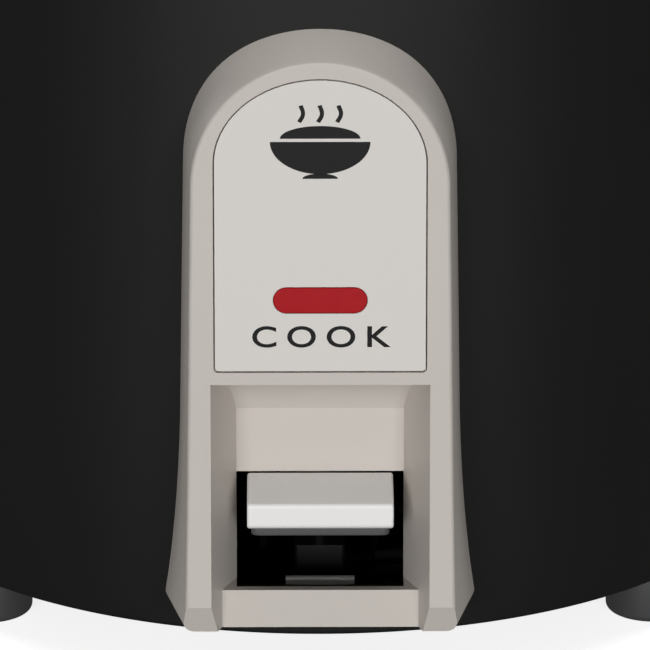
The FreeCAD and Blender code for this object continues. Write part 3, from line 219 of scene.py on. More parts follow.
# Zinc-plated steel: brighter and smoother, with a fine rolled grain.
zinc, tree, surface = new_finish("zinc_plated_steel", Metallic=1.0, Base_Color=linear("#B9BABB"))
place = add(tree, "TexCoord")
grain = add(tree, "TexNoise", {"Scale": 900.0, "Detail": 2.0}, {"Vector": place.outputs["Object"]})
tone = add(tree, "MapRange", {"To Min": 0.26, "To Max": 0.40}, {"Value": grain.outputs["Fac"]})
tree.links.new(tone.outputs["Result"], surface.inputs["Roughness"])

coat(["inner_liner"], galvanised)
coat(["foot_screws", "foot_nuts", "base_screws", "liner_supports"], zinc)
coat(["heater_spacers", "heater_screws"], zinc)

# ---- CAN ------------------------------------------------------------------------------------------
# The can is drawn from 0.6 mm steel, tucked in slightly towards the base and turned over at both
# ends, then powder coated matt black. Windows are punched for the switch and the inlet.

# Powder coat: near black, with a fine orange peel about 0.7 mm across that softens highlights.
black_coat, tree, surface = new_finish("black_powder_coat", Specular_IOR_Level=0.28)
place = add(tree, "TexCoord")
peel = add(tree, "TexNoise", {"Scale": 1500.0, "Detail": 2.0}, {"Vector": place.outputs["Object"]})
cloud = add(tree, "TexNoise", {"Scale": 26.0, "Detail": 3.0}, {"Vector": place.outputs["Object"]})
tone = add(tree, "MapRange", {"To Min": 0.54, "To Max": 0.62}, {"Value": cloud.outputs["Fac"]})
tint = add(
    tree,
    "Mix",
    {"data_type": "RGBA", 6: linear("#0E0E0E"), 7: linear("#121211")},
    {0: cloud.outputs["Fac"]},
)
bump = add(tree, "Bump", {"Strength": 0.10, "Distance": 0.05 * mm}, {"Height": peel.outputs["Fac"]})
tree.links.new(tint.outputs[2], surface.inputs["Base Color"])
tree.links.new(tone.outputs["Result"], surface.inputs["Roughness"])
tree.links.new(bump.outputs["Normal"], surface.inputs["Normal"])

low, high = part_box("body_shell")
can_radius = high.x / mm
can_low, can_high = low.z / mm, high.z / mm
tuck_z, tuck_inset = 62.0, 1.5
tuck_radius = ((tuck_z - can_low) ** 2 + tuck_inset**2) / (2 * tuck_inset)


def can_wall(z):
    """The can's outer radius at a height, in millimetres."""
    if z >= tuck_z:
        return can_radius
    return can_radius - tuck_radius + math.sqrt(tuck_radius**2 - (tuck_z - z) ** 2)


# The wall runs from the turned-in lower lip, up past the tuck, to the turned-in upper lip.
edge, lower_lip, upper_lip, sheet = 0.9, 77.5, 80.0, 0.6
profile = [(lower_lip, can_low)]
profile += bow((can_wall(can_low) - edge, can_low + edge), edge, -90, -4, 7)
profile += [(can_wall(z), z) for z in (14, 20, 28, 36, 44, 52, 62, 90, 118, can_high - edge)]
profile += bow((can_radius - edge, can_high - edge), edge, 0, 90, 7)[1:]
profile += [(upper_lip, can_high)]
can = turned("can_powder_coated", profile, steps=256)
modified(can, "SOLIDIFY", thickness=sheet * mm, offset=-1)
windows = [
    ((0, -70, 39), (38, 60, 38)),  # behind the finger recess
    ((0, -70, 75.74), (14, 60, 8)),  # behind the indicator
    ((0, 70, 29.5), (30, 60, 25)),  # behind the inlet
]
for centre, size in windows:
    bpy.ops.mesh.primitive_cube_add(size=mm, location=[c * mm for c in centre], scale=size)
    punch = bpy.context.object
    modified(can, "BOOLEAN", operation="DIFFERENCE", solver="EXACT", object=punch)
    bpy.data.objects.remove(punch)
settled(can, "cooker", black_coat, ["body_shell"])
# The base plate's black is partly painted shade: it keeps the floor inside the lever's slot dark.
coat(["bottom_plate"], black_coat)

# ---- HEATER, THERMOSTAT AND WIRING ----------------------------------------------------------------
# The heater is an aluminium casting around a tubular element, turned flat on top. In its middle sits
# the sprung cap of a magnetic thermostat. All but the drop spring is carried over from the CAD frame.

# Cast aluminium, faced on a lathe: rings 1.6 mm apart over a dull, slightly stained metal.
cast, tree, surface = new_finish("cast_aluminium_turned", Metallic=1.0)
place = add(tree, "TexCoord")
rings = add(
    tree,
    "TexWave",
    {"wave_type": "RINGS", "rings_direction": "Z", "Scale": 200.0, "Distortion": 0.4},
    {"Vector": place.outputs["Object"]},
)
stain = add(tree, "TexNoise", {"Scale": 45.0, "Detail": 5.0}, {"Vector": place.outputs["Object"]})
tone = add(tree, "MapRange", {"To Min": 0.30, "To Max": 0.52}, {"Value": stain.outputs["Fac"]})
tint = add(
    tree,
    "Mix",
    {"data_type": "RGBA", 6: linear("#A4A4A3"), 7: linear("#C3C3C2")},
    {0: stain.outputs["Fac"]},
)
bump = add(tree, "Bump", {"Strength": 0.25, "Distance": 0.04 * mm}, {"Height": rings.outputs["Fac"]})
tree.links.new(tint.outputs[2], surface.inputs["Base Color"])
tree.links.new(tone.outputs["Result"], surface.inputs["Roughness"])
tree.links.new(bump.outputs["Normal"], surface.inputs["Normal"])
coat(["heater_plate", "sensor_cap", "thermal_fuse"], cast)

# Element tube: steel sheath, browned and dulled by heat.
sheath, tree, surface = new_finish("heat_browned_sheath", Metallic=0.9, Roughness=0.5)
place = add(tree, "TexCoord")
scale = add(tree, "TexNoise", {"Scale": 120.0, "Detail": 6.0}, {"Vector": place.outputs["Object"]})
tint = add(
    tree,
    "Mix",
    {"data_type": "RGBA", 6: linear("#4A3F36"), 7: linear("#6E6A66")},
    {0: scale.outputs["Fac"]},
)
tree.links.new(tint.outputs[2], surface.inputs["Base Color"])
coat(["heating_element"], sheath)

# Sintered ferrite: matt charcoal with a fine grain.
ferrite, tree, surface = new_finish("sintered_ferrite", Base_Color=linear("#2B2B2D"), Roughness=0.62)
place = add(tree, "TexCoord")
grain = add(tree, "TexNoise", {"Scale": 1400.0, "Detail": 4.0}, {"Vector": place.outputs["Object"]})
bump = add(tree, "Bump", {"Strength": 0.3, "Distance": 0.05 * mm}, {"Height": grain.outputs["Fac"]})
tree.links.new(bump.outputs["Normal"], surface.inputs["Normal"])
coat(["sensor_ferrite", "magnet"], ferrite)
coat(["sensor_spring", "sensor_bracket", "bracket_screws", "magnet_holder"], zinc)

# The drop spring, six turns of 0.8 mm wire, is squeezed when the lever lifts the magnet to the cap.
low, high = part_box("drop_spring")
wire_radius, turns, magnet_travel = 0.4 * mm, 6, 6.9 * mm
coil_radius = high.x - wire_radius
bpy.ops.object.select_all(action="DESELECT")
bpy.ops.mesh.primitive_circle_add(
    vertices=14,
    radius=wire_radius,
    location=(coil_radius, 0, low.z + wire_radius),
    rotation=(math.pi / 2, 0, 0),
)
spring = bpy.context.object
spring.name = "drop_spring_wound"
bpy.ops.object.transform_apply(location=True, rotation=True, scale=True)
rise = (high.z - low.z - 2 * wire_radius) / turns
modified(spring, "SCREW", screw_offset=rise, iterations=turns, steps=36, render_steps=36)
bpy.ops.object.mode_set(mode="EDIT")
bpy.ops.mesh.select_all(action="SELECT")
bpy.ops.mesh.fill_holes(sides=14)
bpy.ops.mesh.select_all(action="SELECT")
bpy.ops.mesh.normals_make_consistent(inside=False)
bpy.ops.object.mode_set(mode="OBJECT")
settled(spring, "cooker", zinc, ["drop_spring"])
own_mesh(spring)
coat(["fuse_clip", "clip_screw"], zinc)

# Silicone leads: soft, dusty black rubber.
silicone, tree, surface = new_finish(
    "black_silicone_insulation", Base_Color=linear("#1C1C1C"), Roughness=0.75
)
place = add(tree, "TexCoord")
dust = add(tree, "TexNoise", {"Scale": 700.0, "Detail": 4.0}, {"Vector": place.outputs["Object"]})
bump = add(tree, "Bump", {"Strength": 0.2, "Distance": 0.05 * mm}, {"Height": dust.outputs["Fac"]})
tree.links.new(bump.outputs["Normal"], surface.inputs["Normal"])
coat(["mains_leads", "lamp_leads"], silicone)

# Black phenolic, compression moulded: deep black with a low, slightly uneven gloss.
phenolic, tree, surface = new_finish(
    "black_phenolic_moulded", Base_Color=linear("#0E0E0E"), Specular_IOR_Level=0.36
)
place = add(tree, "TexCoord")
flow = add(tree, "TexNoise", {"Scale": 60.0, "Detail": 3.0}, {"Vector": place.outputs["Object"]})
fine = add(tree, "TexNoise", {"Scale": 1600.0, "Detail": 2.0}, {"Vector": place.outputs["Object"]})
tone = add(tree, "MapRange", {"To Min": 0.34, "To Max": 0.44}, {"Value": flow.outputs["Fac"]})
bump = add(tree, "Bump", {"Strength": 0.08, "Distance": 0.04 * mm}, {"Height": fine.outputs["Fac"]})
tree.links.new(tone.outputs["Result"], surface.inputs["Roughness"])
tree.links.new(bump.outputs["Normal"], surface.inputs["Normal"])
# The switch body and plunger take this black as painted shade: it keeps them as dark as the shade behind
# the lever's slot.
coat(["switch_body", "switch_plunger"], phenolic)

# ---- COOKING LEVER --------------------------------------------------------------------------------
# A bent steel arm rocks on a pin. Its outer end carries a white moulded paddle, pushed on, with a
# sloping thumb face, an upright front and an undercut lip.


def softened(node, name, width, segments=3, angle=24):
    """A copy of a CAD node, welded, with its flat faces cleaned and its edges rounded."""
    piece = bpy.data.objects.new(name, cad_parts[node].data.copy())
    bpy.context.scene.collection.objects.link(piece)
    only(piece)
    bpy.ops.mesh.customdata_custom_splitnormals_clear()
    bpy.ops.object.mode_set(mode="EDIT")
    bpy.ops.mesh.select_all(action="SELECT")
    bpy.ops.mesh.remove_doubles(threshold=1e-5)
    bpy.ops.mesh.dissolve_limited(angle_limit=math.radians(0.4))
    bpy.ops.object.mode_set(mode="OBJECT")
    modified(
        piece,
        "BEVEL",
        width=width * mm,
        segments=segments,
        limit_method="ANGLE",
        angle_limit=math.radians(angle),
        use_clamp_overlap=True,
        harden_normals=False,
    )
    bpy.ops.object.shade_smooth_by_angle(angle=math.radians(32))
    modified(piece, "WEIGHTED_NORMAL", keep_sharp=True, weight=100)
    return piece


# White ABS, moulded with a satin face.
white_abs, tree, surface = new_finish(
    "white_abs_satin", Base_Color=linear("#F3F2F0"), Roughness=0.36, Specular_IOR_Level=0.5
)
place = add(tree, "TexCoord")
grain = add(tree, "TexNoise", {"Scale": 1800.0, "Detail": 2.0}, {"Vector": place.outputs["Object"]})
bump = add(tree, "Bump", {"Strength": 0.06, "Distance": 0.04 * mm}, {"Height": grain.outputs["Fac"]})
tree.links.new(bump.outputs["Normal"], surface.inputs["Normal"])

paddle = softened("lever_knob", "lever_paddle", 0.55, segments=4)
settled(paddle, "lever", white_abs, ["lever_knob"])
coat(["lamp_holder"], white_abs)

# Pad pressed into the paddle's underside: dull, with a fine grain, and dark grey as painted shade
# under the paddle's lip.
pad_shade_finish, tree, surface = new_finish(
    "pad_dark_grey_painted_shade", Base_Color=linear("#4A4A4C"), Roughness=0.5
)
place = add(tree, "TexCoord")
grain = add(tree, "TexNoise", {"Scale": 2000.0, "Detail": 2.0}, {"Vector": place.outputs["Object"]})
bump = add(tree, "Bump", {"Strength": 0.1, "Distance": 0.04 * mm}, {"Height": grain.outputs["Fac"]})
tree.links.new(bump.outputs["Normal"], surface.inputs["Normal"])
pad = softened("lever_insert", "lever_pad", 0.25, segments=2)
settled(pad, "lever", pad_shade_finish, ["lever_insert"])

# Steel for the arm, its pin and its bracket, made near black and dull as painted shade: it keeps
# these parts, which are bright zinc on the cooker, as dark as the shade inside the lever's slot.
passivated, tree, surface = new_finish(
    "steel_near_black_painted_shade", Metallic=0.4, Base_Color=linear("#1F1F20")
)
place = add(tree, "TexCoord")
film = add(tree, "TexNoise", {"Scale": 260.0, "Detail": 4.0}, {"Vector": place.outputs["Object"]})
tone = add(tree, "MapRange", {"To Min": 0.45, "To Max": 0.62}, {"Value": film.outputs["Fac"]})
tree.links.new(tone.outputs["Result"], surface.inputs["Roughness"])
coat(["lever_arm", "pivot_pin", "pivot_bracket"], passivated)

# A pale, dull passivated skin on the tongue behind the slot. Little light gets in there, so it looks
# dark grey.
pale_skin, tree, surface = new_finish("tongue_pale_passivated", Metallic=0.0, Roughness=0.5)
place = add(tree, "TexCoord")
wear = add(tree, "TexNoise", {"Scale": 300.0, "Detail": 3.0}, {"Vector": place.outputs["Object"]})
tint = add(
    tree,
    "Mix",
    {"data_type": "RGBA", 6: linear("#C2C2C0"), 7: linear("#CCCCCA")},
    {0: wear.outputs["Fac"]},
)
tree.links.new(tint.outputs[2], surface.inputs["Base Color"])
coat(["slot_guard"], pale_skin)

# ---- SWITCH HOUSING -------------------------------------------------------------------------------
# One ABS moulding in warm grey, with an arched outline, drafted sides and a finger recess, screwed
# to the can from inside. The tool surface is finely spark eroded, and edges have a 0.4 mm round.

housing_finish, tree, surface = new_finish("warm_grey_abs_eroded", Specular_IOR_Level=0.42)
place = add(tree, "TexCoord")
erosion = add(tree, "TexNoise", {"Scale": 2200.0, "Detail": 3.0}, {"Vector": place.outputs["Object"]})
cloud = add(tree, "TexNoise", {"Scale": 40.0, "Detail": 3.0}, {"Vector": place.outputs["Object"]})
tone = add(tree, "MapRange", {"To Min": 0.42, "To Max": 0.52}, {"Value": erosion.outputs["Fac"]})
tint = add(
    tree,
    "Mix",
    {"data_type": "RGBA", 6: linear("#C6BFB8"), 7: linear("#CAC3BC")},
    {0: cloud.outputs["Fac"]},
)
bump = add(tree, "Bump", {"Strength": 0.16, "Distance": 0.05 * mm}, {"Height": erosion.outputs["Fac"]})
tree.links.new(tint.outputs[2], surface.inputs["Base Color"])
tree.links.new(tone.outputs["Result"], surface.inputs["Roughness"])
tree.links.new(bump.outputs["Normal"], surface.inputs["Normal"])

housing = softened("front_housing", "switch_housing", 0.4, segments=3)
settled(housing, "cooker", housing_finish, ["front_housing"])
coat(["housing_screws"], zinc)

# ---- NAME PLATE AND INDICATOR ---------------------------------------------------------------------
# An off-white polycarbonate plate is pressed into the housing. Through it shows a red pill-shaped
# lens over a neon lamp. A rice bowl and the word COOK are pad printed on it in black.

plate_finish, tree, surface = new_finish(
    "off_white_polycarbonate", Base_Color=linear("#DAD6D1"), Roughness=0.46, Specular_IOR_Level=0.35
)
place = add(tree, "TexCoord")
grain = add(tree, "TexNoise", {"Scale": 1500.0, "Detail": 2.0}, {"Vector": place.outputs["Object"]})
bump = add(tree, "Bump", {"Strength": 0.05, "Distance": 0.04 * mm}, {"Height": grain.outputs["Fac"]})
tree.links.new(bump.outputs["Normal"], surface.inputs["Normal"])
plate = softened("label_plate", "name_plate", 0.15, segments=2)
settled(plate, "cooker", plate_finish, ["label_plate"])

# Red acrylic, moulded and lightly frosted at the back: an even, deep red with a soft face.
lens_finish, tree, surface = new_finish("red_acrylic_lens", Specular_IOR_Level=0.18)
place = add(tree, "TexCoord")
frost = add(tree, "TexNoise", {"Scale": 900.0, "Detail": 3.0}, {"Vector": place.outputs["Object"]})
tone = add(tree, "MapRange", {"To Min": 0.32, "To Max": 0.42}, {"Value": frost.outputs["Fac"]})
tint = add(
    tree,
    "Mix",
    {"data_type": "RGBA", 6: linear("#A30512"), 7: linear("#AE0715")},
    {0: frost.outputs["Fac"]},
)
tree.links.new(tint.outputs[2], surface.inputs["Base Color"])
tree.links.new(tone.outputs["Result"], surface.inputs["Roughness"])
lens = softened("indicator_lens", "red_lens", 0.2, segments=3)
settled(lens, "cooker", lens_finish, ["indicator_lens"])

# Drawn lamp glass: clear and faintly amber, with slight waves from the flame that closed it.
neon, tree, surface = new_finish(
    "neon_lamp_glass", Base_Color=linear("#F2E4D6"), Roughness=0.05, Transmission_Weight=0.9, IOR=1.47
)
place = add(tree, "TexCoord")
wave = add(tree, "TexNoise", {"Scale": 400.0, "Detail": 1.0}, {"Vector": place.outputs["Object"]})
bump = add(tree, "Bump", {"Strength": 0.1, "Distance": 0.05 * mm}, {"Height": wave.outputs["Fac"]})
tree.links.new(bump.outputs["Normal"], surface.inputs["Normal"])
coat(["indicator_lamp"], neon)

# Pad-printed ink: flat black, a hair proud of the plate, with soft gloss.
ink, tree, surface = new_finish(
    "black_pad_print_ink", Base_Color=linear("#060606"), Specular_IOR_Level=0.2
)
place = add(tree, "TexCoord")
coverage = add(tree, "TexNoise", {"Scale": 900.0, "Detail": 3.0}, {"Vector": place.outputs["Object"]})
tone = add(tree, "MapRange", {"To Min": 0.36, "To Max": 0.5}, {"Value": coverage.outputs["Fac"]})
tree.links.new(tone.outputs["Result"], surface.inputs["Roughness"])

face_foot, face_lean, ink_film = Vector((0, -97.0 * mm, 15.85 * mm)), math.radians(4), 0.03 * mm


def printed(print_piece, up):
    """Lays a flat print, drawn round its own origin, on the plate at a height up its face."""
    along = Vector((0, math.sin(face_lean), math.cos(face_lean)))
    out = Vector((0, -math.cos(face_lean), math.sin(face_lean)))
    print_piece.location = face_foot + along * up * mm - out * (0.05 * mm)
    print_piece.rotation_euler = (math.pi / 2 - face_lean, 0, 0)
    settled(print_piece, "cooker", ink)


def half_round(width, height, upper, lift):
    """Half of a flat oval, in millimetres, lifted up the print."""
    bpy.ops.object.select_all(action="DESELECT")
    bpy.ops.mesh.primitive_circle_add(vertices=72, radius=mm, fill_type="NGON")
    piece = bpy.context.object
    side = 1 if upper else -1
    bpy.ops.object.mode_set(mode="EDIT")
    pick(piece, "verts", lambda co: co.y * side < -1e-6)
    bpy.ops.transform.resize(value=(1, 0, 1), center_override=(0, 0, 0))
    bpy.ops.mesh.select_all(action="SELECT")
    bpy.ops.transform.resize(value=(width / 2, height, 1), center_override=(0, 0, 0))
    bpy.ops.transform.translate(value=(0, lift * mm, 0))
    bpy.ops.mesh.dissolve_limited(angle_limit=math.radians(0.5))
    bpy.ops.object.mode_set(mode="OBJECT")
    modified(piece, "SOLIDIFY", thickness=ink_film, offset=0)
    return piece


bowl = half_round(17.0, 5.6, False, 0.3)
strokes = [bowl, half_round(13.6, 2.2, True, 0.85), half_round(6.0, 0.9, True, -6.1)]
for across in (-3.2, 0.0, 3.2):
    bpy.ops.object.select_all(action="DESELECT")
    bpy.ops.curve.primitive_bezier_curve_add()
    wisp = bpy.context.object
    line = wisp.data.splines[0]
    line.bezier_points.add(1)
    for point, (x, y) in zip(line.bezier_points, ((-0.35, 3.7), (0.3, 5.1), (-0.1, 6.6))):
        point.co = ((across + x) * mm, y * mm, 0)
        point.handle_left_type = point.handle_right_type = "AUTO"
    wisp.data.bevel_depth = 0.36 * mm
    wisp.data.bevel_resolution = 3
    wisp.data.use_fill_caps = True
    bpy.ops.object.convert(target="MESH")
    wisp.scale = (1.0, 1.0, ink_film / (0.72 * mm))
    bpy.ops.object.transform_apply(location=True, rotation=True, scale=True)
    strokes.append(wisp)
bpy.ops.object.select_all(action="DESELECT")
for stroke in strokes:
    stroke.select_set(True)
bpy.context.view_layer.objects.active = bowl
bpy.ops.object.join()
bowl.name = "bowl_print"
printed(bowl, 87.4)

bpy.ops.object.select_all(action="DESELECT")
bpy.ops.object.text_add()
word = bpy.context.object
word.name = "word_print"
word.data.body = "COOK"
word.data.align_x, word.data.align_y = "CENTER", "CENTER"
word.data.size = 5.1 * mm
word.data.space_character = 1.45
word.data.offset = 0.07 * mm
word.data.extrude = ink_film / 2
bpy.ops.object.convert(target="MESH")
word_width, word_height = 23.6 * mm, 3.78 * mm
word.scale = (word_width / word.dimensions.x, word_height / word.dimensions.y, 1.0)
bpy.ops.object.transform_apply(scale=True)
printed(word, 53.45)

# ---- TOP RING -------------------------------------------------------------------------------------
# A stainless ring with a rolled outer bead closes the joint between the can and the liner. It is
# spun to shape and brushed round, and the liner's flange holds it down.

# Stainless steel, brushed in circles: fine streaks that run round the axis.
brushed, tree, surface = new_finish(
    "stainless_brushed_round", Metallic=1.0, Base_Color=linear("#C8C6C3")
)
place = add(tree, "TexCoord")
polar = add(tree, "SeparateXYZ", {}, {"Vector": place.outputs["Object"]})
reach = add(tree, "VectorMath", {"operation": "LENGTH"}, {})
flat = add(tree, "CombineXYZ", {}, {"X": polar.outputs["X"], "Y": polar.outputs["Y"]})
tree.links.new(flat.outputs["Vector"], reach.inputs[0])
streak_place = add(tree, "CombineXYZ", {}, {"X": reach.outputs["Value"], "Y": polar.outputs["Z"]})
across = streak_place.outputs["Vector"]
streaks = add(tree, "TexNoise", {"Scale": 5200.0, "Detail": 2.0}, {"Vector": across})
tone = add(tree, "MapRange", {"To Min": 0.16, "To Max": 0.34}, {"Value": streaks.outputs["Fac"]})
bump = add(tree, "Bump", {"Strength": 0.12, "Distance": 0.02 * mm}, {"Height": streaks.outputs["Fac"]})
tree.links.new(tone.outputs["Result"], surface.inputs["Roughness"])
tree.links.new(bump.outputs["Normal"], surface.inputs["Normal"])

profile = [(73.9, 143.0)] + bow((83.9, 144.1), 1.1, -90, 185, 22) + bow((73.9, 143.7), 0.3, 90, 180, 3)
profile += [(73.6, 143.3), (73.9, 143.0)]
ring = turned("top_ring_brushed", profile, steps=256)
settled(ring, "cooker", brushed, ["top_ring"], angle=50)

# ---- PAN ------------------------------------------------------------------------------------------
# The pan is drawn from 1.3 mm aluminium with a wide corner and a turned-out flange, and anodised. A
# row of short raised level marks is coined into its inner wall.

# Clear-anodised aluminium: a soft grey satin with faint draw lines round the wall.
anodised, tree, surface = new_finish("aluminium_clear_anodised", Metallic=1.0)
place = add(tree, "TexCoord")
polar = add(tree, "SeparateXYZ", {}, {"Vector": place.outputs["Object"]})
draw_lines = {"noise_dimensions": "1D", "Scale": 1800.0, "Detail": 3.0}
lines = add(tree, "TexNoise", draw_lines, {"W": polar.outputs["Z"]})
mottle = add(tree, "TexNoise", {"Scale": 70.0, "Detail": 4.0}, {"Vector": place.outputs["Object"]})
tone = add(tree, "MapRange", {"To Min": 0.30, "To Max": 0.44}, {"Value": lines.outputs["Fac"]})
tint = add(
    tree,
    "Mix",
    {"data_type": "RGBA", 6: linear("#B2B3B5"), 7: linear("#C4C5C6")},
    {0: mottle.outputs["Fac"]},
)
bump = add(tree, "Bump", {"Strength": 0.10, "Distance": 0.03 * mm}, {"Height": lines.outputs["Fac"]})
tree.links.new(tint.outputs[2], surface.inputs["Base Color"])
tree.links.new(tone.outputs["Result"], surface.inputs["Roughness"])
tree.links.new(bump.outputs["Normal"], surface.inputs["Normal"])

# The outer skin runs out and up to the flange's rolled edge, and the inner skin comes back down.
pan_bottom, pan_floor = 50.1, 51.4
corner, flange_root = (58.0, 63.1), (72.6, 144.0)
profile = [(0, pan_bottom)] + bow(corner, 13.0, -90, 0, 14) + bow(flange_root, 1.6, 180, 90, 5)
profile += bow((79.85, 146.25), 0.65, -90, 90, 8) + bow(flange_root, 2.9, 90, 180, 8)
profile += bow(corner, 11.7, 0, -90, 14) + [(0, pan_floor)]
pan = turned("pan_anodised", profile, steps=224)
settled(pan, "pan", anodised, ["inner_pan"])

wall_inside, mark_face = 69.75, 69.5
for number, level in enumerate((66.0, 78.0, 90.0, 102.0, 114.0)):
    profile = [(wall_inside, level - 0.35), (mark_face, level - 0.2)]
    profile += [(mark_face, level + 0.2), (wall_inside, level + 0.35)]
    sweep = 0.26 if number % 2 else 0.17
    mark = turned(f"pan_level_mark_{number + 1}", profile + profile[:1], steps=10, sweep=sweep)
    settled(mark, "pan", anodised)

# ---- LID ------------------------------------------------------------------------------------------
# A domed disc of 3.6 mm tempered glass with a ground edge, gripped by a rolled stainless rim. A
# phenolic skirt and knob are clamped through its middle by one screw, and a steel eyelet lets steam out.


def through(a, b, c, count):
    """Points of the profile's arc from a through b to c."""
    d = 2 * (a[0] * (b[1] - c[1]) + b[0] * (c[1] - a[1]) + c[0] * (a[1] - b[1]))
    squares = [q[0] ** 2 + q[1] ** 2 for q in (a, b, c)]
    x = (squares[0] * (b[1] - c[1]) + squares[1] * (c[1] - a[1]) + squares[2] * (a[1] - b[1])) / d
    y = (squares[0] * (c[0] - b[0]) + squares[1] * (a[0] - c[0]) + squares[2] * (b[0] - a[0])) / d
    start, middle, end = [math.degrees(math.atan2(q[1] - y, q[0] - x)) for q in (a, b, c)]
    turn = (end - start) % 360
    if (middle - start) % 360 > turn:
        turn -= 360
    return bow((x, y), math.hypot(a[0] - x, a[1] - y), start, start + turn, count)


# Tempered soda-lime glass: clear, with a faint green in its thickness.
tempered, tree, surface = new_finish(
    "tempered_soda_lime_glass", Base_Color=linear("#F1F8F5"), Transmission_Weight=1.0, IOR=1.52
)
place = add(tree, "TexCoord")
haze = add(tree, "TexNoise", {"Scale": 30.0, "Detail": 2.0}, {"Vector": place.outputs["Object"]})
tone = add(tree, "MapRange", {"To Min": 0.0, "To Max": 0.025}, {"Value": haze.outputs["Fac"]})
tree.links.new(tone.outputs["Result"], surface.inputs["Roughness"])

low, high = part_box("lid_glass")
glass_edge_r, glass_thick, dome_radius, dome_centre = 77.9, 3.6, 231.589, -69.589


def dome(r, lift):
    """Height of the glass's lower face at a radius, moved out by lift."""
    return dome_centre + math.sqrt((dome_radius + lift) ** 2 - r**2)


inner_hole, ground_edge = 2.6, 0.4
face_width = glass_edge_r - ground_edge - inner_hole
radii = [inner_hole + face_width * i / 20 for i in range(21)]
profile = [(r, dome(r, 0)) for r in radii]
profile += [(glass_edge_r, dome(glass_edge_r, 0) + ground_edge)]
profile += [(glass_edge_r, dome(glass_edge_r, glass_thick) - ground_edge)]
profile += [(r, dome(r, glass_thick)) for r in reversed(radii)] + [(inner_hole, dome(inner_hole, 0))]
pane = turned("lid_glass_pane", profile, steps=224)
vent_y = 46.0
bpy.ops.mesh.primitive_cylinder_add(
    vertices=48,
    radius=4.0 * mm,
    depth=20 * mm,
    location=(0, vent_y * mm, dome(vent_y, 1.8) * mm),
    rotation=(-math.asin(vent_y / dome_radius), 0, 0),
)
drill = bpy.context.object
modified(pane, "BOOLEAN", operation="DIFFERENCE", solver="EXACT", object=drill)
bpy.data.objects.remove(drill)
settled(pane, "lid", tempered, ["lid_glass"])

# The band's section: out under the glass, up round the bead and back in over the glass's edge.
band_inner, groove = 75.8, 78.05
profile = [(band_inner, 147.2)] + bow((76.0, 147.2), 0.2, 180, 270, 2)[1:]
profile += bow((79.8, 148.2), 1.2, -90, 0, 6)
profile += through((81.0, 152.12), (80.45, 153.42), (79.1, 153.92), 7) + [(76.2, 154.25)]
profile += bow((76.2, 153.85), 0.4, 90, 180, 4)[1:] + [(band_inner, dome(band_inner, 3.68))]
profile += [(groove, dome(groove, 3.72)), (groove, dome(groove, -0.1))]
profile += [(band_inner, dome(band_inner, -0.05)), (band_inner, 147.2)]
band = turned("lid_rim_rolled", profile, steps=256)
settled(band, "lid", brushed, ["lid_rim"], angle=40)

# The skirt's section, from its underside out and up to the seat of the knob.
skirt_bore, skirt_bottom, knob_seat = 2.3, 165.7, 170.7
profile = [(skirt_bore, skirt_bottom), (15.3, skirt_bottom), (17.0, 166.3)]
profile += bow((16.6, 167.6), 0.4, 0, 45, 2) + through((16.4, 168.7), (14.4, 169.8), (12.2, 170.3), 6)
profile += [(10.7, knob_seat), (skirt_bore, knob_seat), (skirt_bore, skirt_bottom)]
skirt = turned("knob_skirt_moulded", profile, steps=128)
settled(skirt, "lid", phenolic, ["knob_skirt"])

# The knob's section: a waisted neck, a flat underside for the fingers and a domed crown.
profile = [(0, knob_seat), (10.3, knob_seat), (10.5, 170.9)]
profile += through((10.45, 171.5), (9.2, 176.85), (12.1, 183.0), 14) + [(12.5, 183.3), (20.0, 184.15)]
profile += through((20.4, 184.2), (22.4, 185.6), (23.0, 188.2), 8)
profile += through((23.0, 188.2), (20.8, 195.4), (15.0, 198.7), 12)[1:]
profile += through((15.0, 198.7), (7.5, 199.68), (0.0, 200.0), 8)[1:]
knob = turned("lid_knob_moulded", profile, steps=160)
settled(knob, "lid", phenolic, ["lid_knob"], angle=45)
coat(["vent_grommet", "knob_screw"], brushed)

# ---- SIDE HANDLES ---------------------------------------------------------------------------------
# Two hollow phenolic grips with a turned-down lip, each held by two screws from inside the can.

for side in ("left", "right"):
    grip = softened("handle_" + side, f"handle_{side}_moulded", 0.5, segments=3, angle=40)
    settled(grip, "cooker", phenolic, ["handle_" + side])
coat(["handle_screws"], zinc)

# ---- REAR INLET -----------------------------------------------------------------------------------
# A phenolic socket block with two nickel-plated brass pins, screwed to the back of the can from inside.

inlet = softened("inlet_housing", "inlet_housing_moulded", 0.3, segments=2, angle=40)
settled(inlet, "cooker", phenolic, ["inlet_housing"])

# Nickel-plated brass: bright, a little warm, with fine turning marks.
nickel, tree, surface = new_finish("nickelled_brass_pins", Metallic=1.0, Base_Color=linear("#CDC6B4"))
place = add(tree, "TexCoord")
marks = add(tree, "TexNoise", {"Scale": 1100.0, "Detail": 2.0}, {"Vector": place.outputs["Object"]})
tone = add(tree, "MapRange", {"To Min": 0.14, "To Max": 0.28}, {"Value": marks.outputs["Fac"]})
tree.links.new(tone.outputs["Result"], surface.inputs["Roughness"])
coat(["inlet_pins"], nickel)
coat(["inlet_screws"], zinc)

# ---- FLOOR, LIGHT AND CAMERA ----------------------------------------------------------------------
# A plain pale table and a plain pale soft studio light. The camera looks slightly down at the lower
# front of the cooker from about a metre away.

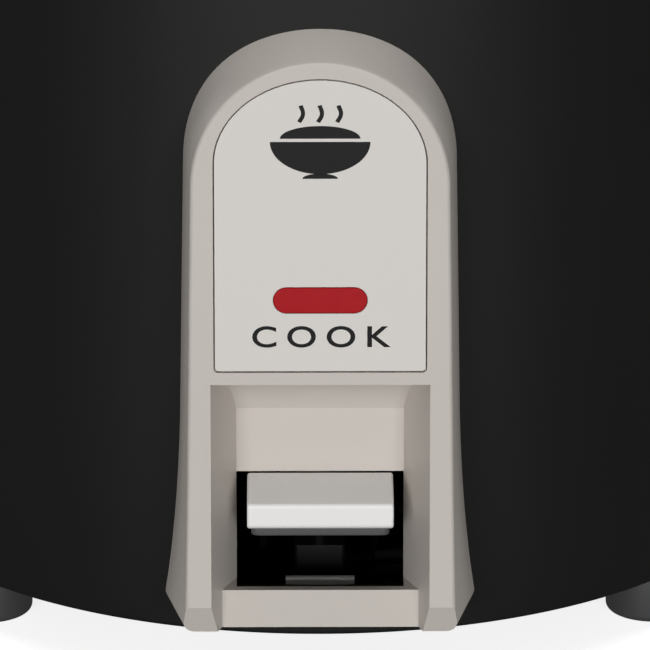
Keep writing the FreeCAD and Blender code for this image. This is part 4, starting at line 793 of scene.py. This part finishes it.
bpy.ops.object.select_all(action="DESELECT")
bpy.ops.mesh.primitive_plane_add(size=6, location=(0, 0, 0))
floor = bpy.context.object
floor.name = "floor"
floor_finish, tree, surface = new_finish(
    "pale_floor",
    Base_Color=linear("#F4F4F4"),
    Roughness=0.9,
    Emission_Color=linear("#FFFFFF"),
    Emission_Strength=0.78,
)
floor.data.materials.append(floor_finish)
# The table's own glow is kept off the cooker: it doesn't light it or mirror in it.
floor.visible_diffuse = floor.visible_glossy = False

world = bpy.data.worlds.new("studio")
bpy.context.scene.world = world
world.use_nodes = True
studio = world.node_tree.nodes["Background"]
studio.inputs["Color"].default_value = linear("#FFFFFF")
studio.inputs["Strength"].default_value = 0.13


def lamp(name, place, aim, size, power):
    """A soft rectangular studio light."""
    light = bpy.data.lights.new(name, "AREA")
    light.shape = "RECTANGLE"
    light.size, light.size_y = size
    light.energy = power
    holder = bpy.data.objects.new(name, light)
    bpy.context.scene.collection.objects.link(holder)
    holder.location = place
    holder.rotation_euler = (Vector(aim) - Vector(place)).to_track_quat("-Z", "Y").to_euler()


front_middle, middle = (0, 0, 0.07), (0, 0, 0.1)
lamp("front_left_softbox", (-0.55, -1.6, 0.22), front_middle, (0.5, 0.4), 10.5)
lamp("front_right_softbox", (0.5, -1.6, 0.22), front_middle, (0.5, 0.4), 9.5)
lamp("top_softbox", (0.0, 0.1, 1.6), middle, (0.9, 0.9), 3)
lamp("rear_left_softbox", (-1.3, 1.3, 0.9), middle, (1.2, 1.0), 22)
lamp("rear_right_softbox", (1.3, 1.3, 0.9), middle, (1.2, 1.0), 22)

elevation, azimuth, distance = math.radians(18.8), math.radians(-0.3), 1.05
target = Vector((0.0008, -0.0932, 0.0715))
level = math.cos(elevation)
back = Vector((math.sin(azimuth) * level, -math.cos(azimuth) * level, math.sin(elevation)))
camera = bpy.data.objects.new("camera", bpy.data.cameras.new("camera"))
bpy.context.scene.collection.objects.link(camera)
camera.data.sensor_width = 36.0
camera.data.lens = 342.0
camera.location = target + back * distance
camera.rotation_euler = (-back).to_track_quat("-Z", "Y").to_euler()
camera.data.clip_start, camera.data.clip_end = 0.05, 20.0
bpy.context.scene.camera = camera
bpy.context.scene.view_settings.view_transform = "Standard"
